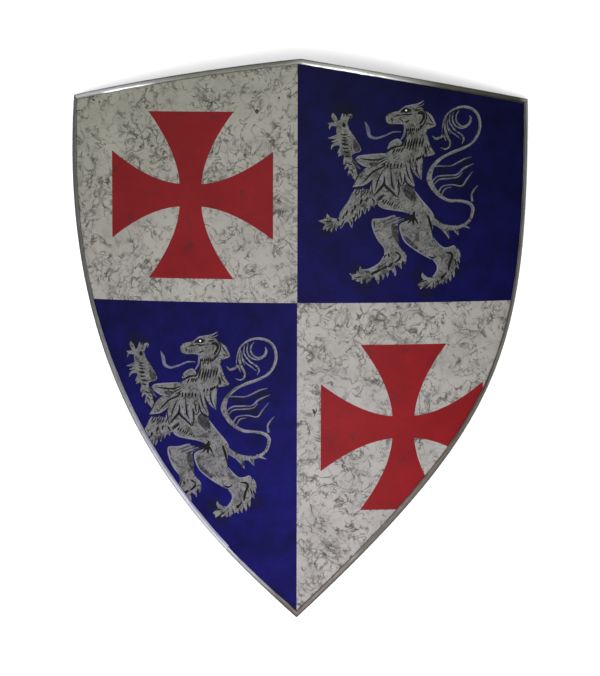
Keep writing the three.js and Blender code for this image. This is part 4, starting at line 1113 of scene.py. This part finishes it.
def corner_shaded(tree, ground, times=1):
    """Painted shade: darkens a colour towards both top corners, where the light falls off. It is
    multiplied by a tint, once or twice, whose share grows with the height plus half the distance
    from the middle line."""
    _, look, _ = settings()
    parts = add(tree, "ShaderNodeSeparateXYZ", {0: map_place(tree, FLAT_MAP)})
    out = calc(tree, "MULTIPLY", calc(tree, "ABSOLUTE", parts.outputs["X"]), 0.5)
    shade_share = between(tree, calc(tree, "ADD", parts.outputs["Y"], out), -0.15, 0.30)
    for _ in range(times):
        ground = mixed(tree, shade_share, ground, look.corner_shade_tint, "MULTIPLY")
    return ground


def threads(tree, size, width, shift, cluster, twist=0.7):
    """Fine wandering threads: the level lines of a twisted noise, kept where a coarser noise
    is above its threshold, and fading in and out along their run."""
    place = map_place(tree, FLAT_MAP, shift=shift)
    level = noise(tree, place, size, 4.0, 0.56, twist)
    level = calc(tree, "ABSOLUTE", calc(tree, "SUBTRACT", level, 0.5))
    line = between(tree, level, 0.0, width, 1.0, 0.0)
    patch = between(tree, noise(tree, place, size * 2.6, 2.0, 0.6), cluster, cluster + 0.06)
    fade = between(tree, noise(tree, place, size * 0.9, 1.0), 0.38, 0.6, 0.25, 1.0)
    return calc(tree, "MULTIPLY", calc(tree, "MULTIPLY", line, patch), fade)


def webbed_white():
    """Greyish white with wandering dark threads in clusters, soft grime and a few knots."""
    _, look, _ = settings()
    material, tree, shader = finish("webbed_white", 0.5)
    place = map_place(tree, FLAT_MAP)
    tone = between(tree, noise(tree, place, 0.05, 4.0, 0.6), 0.35, 0.65)
    ground = mixed(tree, tone, scaled(look.white, 0.92), scaled(look.white, 1.10))
    for size, low, depth in ((0.020, 0.52, 0.20), (0.009, 0.54, 0.26)):
        grime = between(tree, noise(tree, place, size, 4.0, 0.65), low, 0.72, 0.0, depth)
        ground = mixed(tree, grime, ground, scaled(look.white, 0.38))
    for size, width, shift, cluster, depth in (
            (0.024, 0.028, (0.3, 0.1, 0.0), 0.40, 0.72),
            (0.012, 0.054, (1.7, 2.1, 0.0), 0.485, 0.88),
            (0.017, 0.040, (4.1, 3.3, 0.0), 0.46, 0.82)):
        mask = threads(tree, size, width, shift, cluster)
        ground = mixed(tree, calc(tree, "MULTIPLY", mask, depth), ground, look.thread)
    knot = between(tree, noise(tree, place, 0.0055, 3.0, 0.6, 0.4), 0.60, 0.70, 0.0, 0.85)
    crowd = between(tree, noise(tree, place, 0.026, 2.0), 0.48, 0.56)
    ground = mixed(tree, calc(tree, "MULTIPLY", knot, crowd), ground, look.thread)
    # Painted shade towards both top corners.
    tree.links.new(corner_shaded(tree, ground), shader.inputs["Base Color"])
    paint_relief(tree, shader, place)
    return material


def blotched(name, base, dark, light, roughness=0.48, blotch=0.05, spots=0.0):
    """Paint that clouds between a darker and a lighter tone, with a few dark spots."""
    material, tree, shader = finish(name, roughness)
    place = map_place(tree, FLAT_MAP)
    cloud = between(tree, noise(tree, place, blotch, 5.0, 0.6), 0.36, 0.64)
    ground = mixed(tree, cloud, scaled(base, dark), scaled(base, light))
    grain = between(tree, noise(tree, place, 0.003, 3.0, 0.7), 0.3, 0.7, 0.0, 0.3)
    ground = mixed(tree, grain, ground, scaled(base, dark * 0.8))
    if spots:
        spot = between(tree, noise(tree, place, 0.014, 3.0, 0.6), 0.60, 0.74, 0.0, spots)
        ground = mixed(tree, spot, ground, STAIN)
    # Painted shade towards both top corners.
    tree.links.new(corner_shaded(tree, ground), shader.inputs["Base Color"])
    paint_relief(tree, shader, place)
    return material


def deep_blue():
    """Deep blue, clouded, with soft dark smudges about the lions' paws and tails: each smudge
    fades with the distance from its place in the lion's drawing, broken up by noise."""
    _, look, _ = settings()
    material, tree, shader = finish("deep_blue", 0.48, 0.0, 0.03)
    place = map_place(tree, FLAT_MAP)
    cloud = between(tree, noise(tree, place, 0.035, 5.0, 0.65), 0.38, 0.62)
    ground = mixed(tree, cloud, scaled(look.blue, 0.66), scaled(look.blue, 1.28))
    broken = between(tree, noise(tree, place, 0.006, 3.0, 0.6), 0.35, 0.6, 0.3, 0.9)
    for lion in (0, 1):
        for x, y, reach in LION_SMUDGES:
            spot = (look.lion_x + x * look.lion_unit_x - lion * look.lion_shift_x,
                    look.lion_y + y * look.lion_unit_y - lion * look.lion_shift_y, 0.0)
            away = add(tree, "ShaderNodeVectorMath", {0: place, 1: spot},
                       operation="DISTANCE").outputs["Value"]
            far = reach * look.lion_unit_x
            near = between(tree, away, far, far * 0.35, 0.0, 1.0)
            ground = mixed(tree, calc(tree, "MULTIPLY", near, broken), ground, SMUDGE)
    grain = between(tree, noise(tree, place, 0.003, 3.0, 0.7), 0.35, 0.7, 0.0, 0.3)
    ground = mixed(tree, grain, ground, scaled(look.blue, 0.5))
    # Painted shade towards both top corners, given twice.
    tree.links.new(corner_shaded(tree, ground, 2), shader.inputs["Base Color"])
    paint_relief(tree, shader, place)
    return material


def lion_silver():
    """Dry-brushed silver: thin in places, with streaks and dark flecks showing through."""
    _, look, _ = settings()
    material, tree, shader = finish("lion_silver", 0.45, 0.15)
    place = map_place(tree, FLAT_MAP)
    cloud = between(tree, noise(tree, place, 0.010, 4.0, 0.7), 0.36, 0.64)
    ground = mixed(tree, cloud, scaled(look.silver, 0.62), scaled(look.silver, 1.22))
    for size, low, depth in ((0.011, 0.53, 0.75), (0.0050, 0.53, 0.90), (0.0024, 0.56, 0.7)):
        fleck = between(tree, noise(tree, place, size, 3.0, 0.7, 0.6), low, 0.65, 0.0, depth)
        ground = mixed(tree, fleck, ground, FLECK)
    # Painted shade towards both top corners.
    tree.links.new(corner_shaded(tree, ground), shader.inputs["Base Color"])
    bump(tree, shader, noise(tree, place, 0.003, 3.0), 0.0001, 0.3)
    return material


def toned(tree, value, stops):
    """Colours along a value: each colour goes over into the next in a straight line."""
    node = add(tree, "ShaderNodeValToRGB", {0: value})
    elements = node.color_ramp.elements
    elements[0].position, elements[1].position = stops[0][0], stops[-1][0]
    for position, _ in stops[1:-1]:
        elements.new(position)
    for element, (_, tone) in zip(elements, stops):
        element.color = (*tone, 1.0)
    return node.outputs[0]


def polished_steel(name, total, tones, inner, width, tarnish):
    """Polished channel with painted reflections and shade that darken and brighten it along its
    run and from its outer to its inner half, a painted shadow line and dirt along the lip, a
    tarnished fold, fine scratches along the strip, faint smears, and dirt in patches."""
    material, tree, shader = finish(name, 0.4, 1.0)
    drawn = map_place(tree, STRIP_MAP, stretch=(0.06, 1.0, 1.0))
    place = map_place(tree, STRIP_MAP)
    parts = add(tree, "ShaderNodeSeparateXYZ", {0: place})
    along = between(tree, parts.outputs["X"], 0.0, total)
    wander = between(tree, noise(tree, place, 0.05, 3.0), 0.3, 0.7, -0.0006, 0.0006)
    around = calc(tree, "ADD", parts.outputs["Y"], wander)
    half = between(tree, around, width * 0.38, width * 0.56, 1.0, 0.0)
    # Painted reflections and shade along the strip, for its outer and its inner half.
    ground = mixed(tree, half, toned(tree, along, tones), toned(tree, along, inner))
    # Painted shadow line along the lip, where the strip stands over the paint, with some dirt.
    lip = between(tree, parts.outputs["Y"], 0.0011, 0.0019, 0.75, 0.0)
    ground = mixed(tree, lip, ground, SHADE_AND_TARNISH)
    fold = between(tree, parts.outputs["Y"], width * 0.9, width * 1.1, 0.0, tarnish)
    ground = mixed(tree, fold, ground, SHADE_AND_TARNISH)
    smear = between(tree, noise(tree, place, 0.03, 4.0, 0.6), 0.35, 0.7, 0.0, 0.25)
    ground = mixed(tree, smear, ground, SMEAR)
    dirt = between(tree, noise(tree, place, 0.006, 4.0, 0.7), 0.58, 0.76, 0.0, 0.45)
    ground = mixed(tree, dirt, ground, DIRT)
    tree.links.new(ground, shader.inputs["Base Color"])
    rough = between(tree, noise(tree, place, 0.012, 3.0, 0.6), 0.3, 0.7, 0.36, 0.52)
    tree.links.new(rough, shader.inputs["Roughness"])
    bump(tree, shader, noise(tree, drawn, 0.0006, 3.0, 0.7), 0.00005, 0.35)
    return material


def rolled_steel():
    """Dull rolled steel for the hanger, clouded by handling."""
    material, tree, shader = finish("rolled_steel", 0.5, 1.0)
    place = add(tree, "ShaderNodeTexCoord", {}).outputs["Object"]
    cloud = between(tree, noise(tree, place, 0.01, 4.0, 0.65), 0.35, 0.65)
    ground = mixed(tree, cloud, ROLLED_DARK, ROLLED_LIGHT)
    rust = between(tree, noise(tree, place, 0.006, 4.0, 0.7), 0.62, 0.74, 0.0, 0.5)
    ground = mixed(tree, rust, ground, RUST)
    tree.links.new(ground, shader.inputs["Base Color"])
    bump(tree, shader, noise(tree, place, 0.0012, 3.0), 0.00008, 0.3)
    return material


def paint_materials():
    """The plate's materials, in the order of PAINTS."""
    _, look, _ = settings()
    made = {
        "webbed_white": webbed_white(),
        "deep_blue": deep_blue(),
        "cross_red": blotched("cross_red", look.red, 0.86, 1.1, spots=0.6),
        "lion_silver": lion_silver(),
        "lion_faded": blotched("lion_faded", look.faded, 0.6, 1.4, blotch=0.01),
        "lion_shade": blotched("lion_shade", look.shade, 0.2, 1.45, blotch=0.004),
        "spatter": blotched("spatter", look.spatter, 0.4, 1.5, blotch=0.003),
        "lion_edge": blotched("lion_edge", look.edge, 0.7, 1.15, blotch=0.01),
        "ink": blotched("ink", look.ink, 0.8, 1.2, blotch=0.01),
        "glint": blotched("glint", GLINT, 0.9, 1.1, blotch=0.01),
        "back_primer": blotched("back_primer", look.primer, 0.7, 1.25, roughness=0.6,
                                blotch=0.03, spots=0.3),
    }
    return [made[name] for name in PAINTS]


class SHIELD_OT_plate(bpy.types.Operator):
    """Build the bent plate with its painted face"""
    bl_idname = "shield.plate"
    bl_label = "Painted plate"

    def execute(self, context):
        places, faces, paints, normals, flat = plate_arrays()
        piece = new_object("painted_plate", places, faces, paint_materials())
        piece.data.polygons.foreach_set("material_index", paints)
        set_map(piece.data, FLAT_MAP, flat)
        piece.data.normals_split_custom_set(normals.tolist())
        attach(piece, "root")
        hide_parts("shield_plate")
        return {"FINISHED"}


class SHIELD_OT_edging(bpy.types.Operator):
    """Build the three strips of folded steel channel"""
    bl_idname = "shield.edging"
    bl_label = "Channel edging"

    def execute(self, context):
        form, _, _ = settings()
        _, marks = outline(OUTLINE_STEP)

        # Each function gives a strip's flange widths, as (distance along the strip, width).
        def top(total):
            return [(0, form.top_width), (total, form.top_width)]

        def right(total):
            tip = total * (marks[3] - marks[2]) / (marks[4] - marks[2])
            return [(tip * 0.5, form.right_width), (tip * 0.7, form.right_belly_width),
                    (tip, form.right_tip_width), (total, form.right_joint_width)]

        def left(total):
            return [(0, form.left_joint_width), (total * 0.4, form.left_width),
                    (total * 0.65, form.left_upper_width),
                    (total - form.left_taper, form.left_upper_width),
                    (total, form.left_corner_width)]

        # Name, node, first and last mark, widths, outer and inner painted reflections and shade,
        # typical width and how tarnished the fold is.
        strips = (
            ("edging_top", "rim_top", 0, 2, top,
             TOP_PAINTED_REFLECTIONS, TOP_INNER_PAINTED_REFLECTIONS, form.top_width, 0.5),
            ("edging_right", "rim_right", 2, 4, right,
             RIGHT_PAINTED_REFLECTIONS, RIGHT_INNER_PAINTED_REFLECTIONS, form.right_width, 0.3),
            ("edging_left", "rim_left", 4, 5, left,
             LEFT_PAINTED_REFLECTIONS, LEFT_INNER_PAINTED_REFLECTIONS, form.left_width, 0.0))
        for seed, (name, node, first, last, widths, *tones) in enumerate(strips):
            places, faces, flat = strip_arrays(first, last, widths, seed * 7)
            steel = polished_steel(name + "_steel", flat[:, 0].max(), *tones)
            piece = new_object(name, places, faces, [steel])
            set_map(piece.data, STRIP_MAP, flat)
            turned_out(piece.data)
            piece.data.set_sharp_from_angle(angle=SHARP_BEND)
            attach(piece, "root")
            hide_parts(node)
        return {"FINISHED"}


class SHIELD_OT_hanger(bpy.types.Operator):
    """Round the edges of the keyhole hanger"""
    bl_idname = "shield.hanger"
    bl_label = "Keyhole hanger"

    def execute(self, context):
        form, _, _ = settings()
        mesh = frame["nodes"]["hanger"].data.copy()
        work = bmesh.new()
        work.from_mesh(mesh)
        bmesh.ops.remove_doubles(work, verts=work.verts, dist=1e-5)
        bmesh.ops.dissolve_limit(work, angle_limit=math.radians(1), verts=work.verts,
                                 edges=work.edges)
        work.to_mesh(mesh)
        work.free()
        piece = bpy.data.objects.new("keyhole_hanger", mesh)
        bpy.context.collection.objects.link(piece)
        mesh.materials.clear()
        mesh.materials.append(rolled_steel())
        bevel = piece.modifiers.new("rounded edges", "BEVEL")
        bevel.width = form.hanger_round
        bevel.segments = 3
        bevel.limit_method = "ANGLE"
        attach(piece, "root")
        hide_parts("hanger")
        return {"FINISHED"}


class SHIELD_OT_stage(bpy.types.Operator):
    """Set up the pale floor, soft light and camera"""
    bl_idname = "shield.stage"
    bl_label = "Studio stage"

    def execute(self, context):
        _, _, look = settings()
        reach = 8.0
        corners = np.array([(-1, -1, 0), (1, -1, 0), (1, 1, 0), (-1, 1, 0)]) * reach
        material, _, shader = finish("pale_floor", 0.85)
        shader.inputs["Base Color"].default_value = (*look.floor, 1.0)
        floor = new_object("floor", corners, [(0, 1, 2, 3)], [material], smooth=False)
        world = bpy.data.worlds.new("studio")
        world.use_nodes = True
        tree = world.node_tree
        aim = add(tree, "ShaderNodeTexCoord", {}).outputs["Generated"]
        height = add(tree, "ShaderNodeSeparateXYZ", {0: aim}).outputs["Z"]
        glow = between(tree, height, 0.35, 0.95, look.ambient * look.skirt, look.ambient)
        tree.links.new(glow, tree.nodes["Background"].inputs["Strength"])
        tree.nodes["Background"].inputs["Color"].default_value = (1.0, 1.0, 1.0, 1.0)
        context.scene.world = world
        for name, place, size, power in (
                ("window", (-1.60, -0.20, 1.90), 1.40, look.window),
                ("lamp", (0.10, -0.50, 2.05), 1.00, look.lamp),
                ("panel", (0.46, -0.30, 1.80), 0.35, look.panel)):
            light = bpy.data.lights.new(name, "AREA")
            light.size = size
            light.energy = power
            lamp = bpy.data.objects.new(name, light)
            lamp.location = place
            lamp.rotation_euler = (-Vector(place)).to_track_quat("-Z", "Y").to_euler()
            context.collection.objects.link(lamp)
        self.camera(context, look)
        context.scene.view_settings.view_transform = "Standard"
        return {"FINISHED"}

    def camera(self, context, look):
        """Looks down on the lying shield as the photograph looks at it: the shield's turn and
        shift in the camera's space are undone to place the camera in the floor frame."""
        turn = (Matrix.Rotation(look.roll, 4, "Z") @ Matrix.Rotation(look.pitch, 4, "X")
                @ Matrix.Rotation(-look.yaw, 4, "Y"))
        shift = Vector((look.origin_x - PICTURE_WIDTH / 2, PICTURE_HEIGHT / 2 - look.origin_y,
                        -look.focal))
        seen = Matrix.Translation(shift * look.pixel) @ turn
        data = bpy.data.cameras.new("camera")
        data.lens = data.sensor_width * look.focal / PICTURE_HEIGHT
        camera = bpy.data.objects.new("camera", data)
        camera.matrix_world = laid_down() @ seen.inverted()
        data.clip_end = 100.0
        context.collection.objects.link(camera)
        context.scene.camera = camera


class SHIELD_PT_panel(bpy.types.Panel):
    """Lists the shield's pieces in the sidebar"""
    bl_idname = "SHIELD_PT_panel"
    bl_label = "Heater shield"
    bl_space_type = "VIEW_3D"
    bl_region_type = "UI"
    bl_category = "Shield"

    def draw(self, context):
        for operator in OPERATORS:
            self.layout.operator(operator.bl_idname)
        for group in (context.scene.shield_form, context.scene.shield_paint,
                      context.scene.shield_stage):
            column = self.layout.column(align=True)
            for name in group.__annotations__:
                column.prop(group, name)


OPERATORS = (SHIELD_OT_stage, SHIELD_OT_plate, SHIELD_OT_edging, SHIELD_OT_hanger)
CLASSES = (ShieldForm, PaintLook, StageLook, *OPERATORS, SHIELD_PT_panel)


def register():
    """Registers the classes and hangs the properties on the scene."""
    for item in CLASSES:
        bpy.utils.register_class(item)
    bpy.types.Scene.shield_form = bpy.props.PointerProperty(type=ShieldForm)
    bpy.types.Scene.shield_paint = bpy.props.PointerProperty(type=PaintLook)
    bpy.types.Scene.shield_stage = bpy.props.PointerProperty(type=StageLook)


def unregister():
    """Takes the properties and the classes away again."""
    del bpy.types.Scene.shield_form
    del bpy.types.Scene.shield_paint
    del bpy.types.Scene.shield_stage
    for item in reversed(CLASSES):
        bpy.utils.unregister_class(item)


def main():
    """Builds the stage and all pieces."""
    register()
    bpy.ops.shield.stage()
    bpy.ops.shield.plate()
    bpy.ops.shield.edging()
    bpy.ops.shield.hanger()


if __name__ == "__main__":
    main()
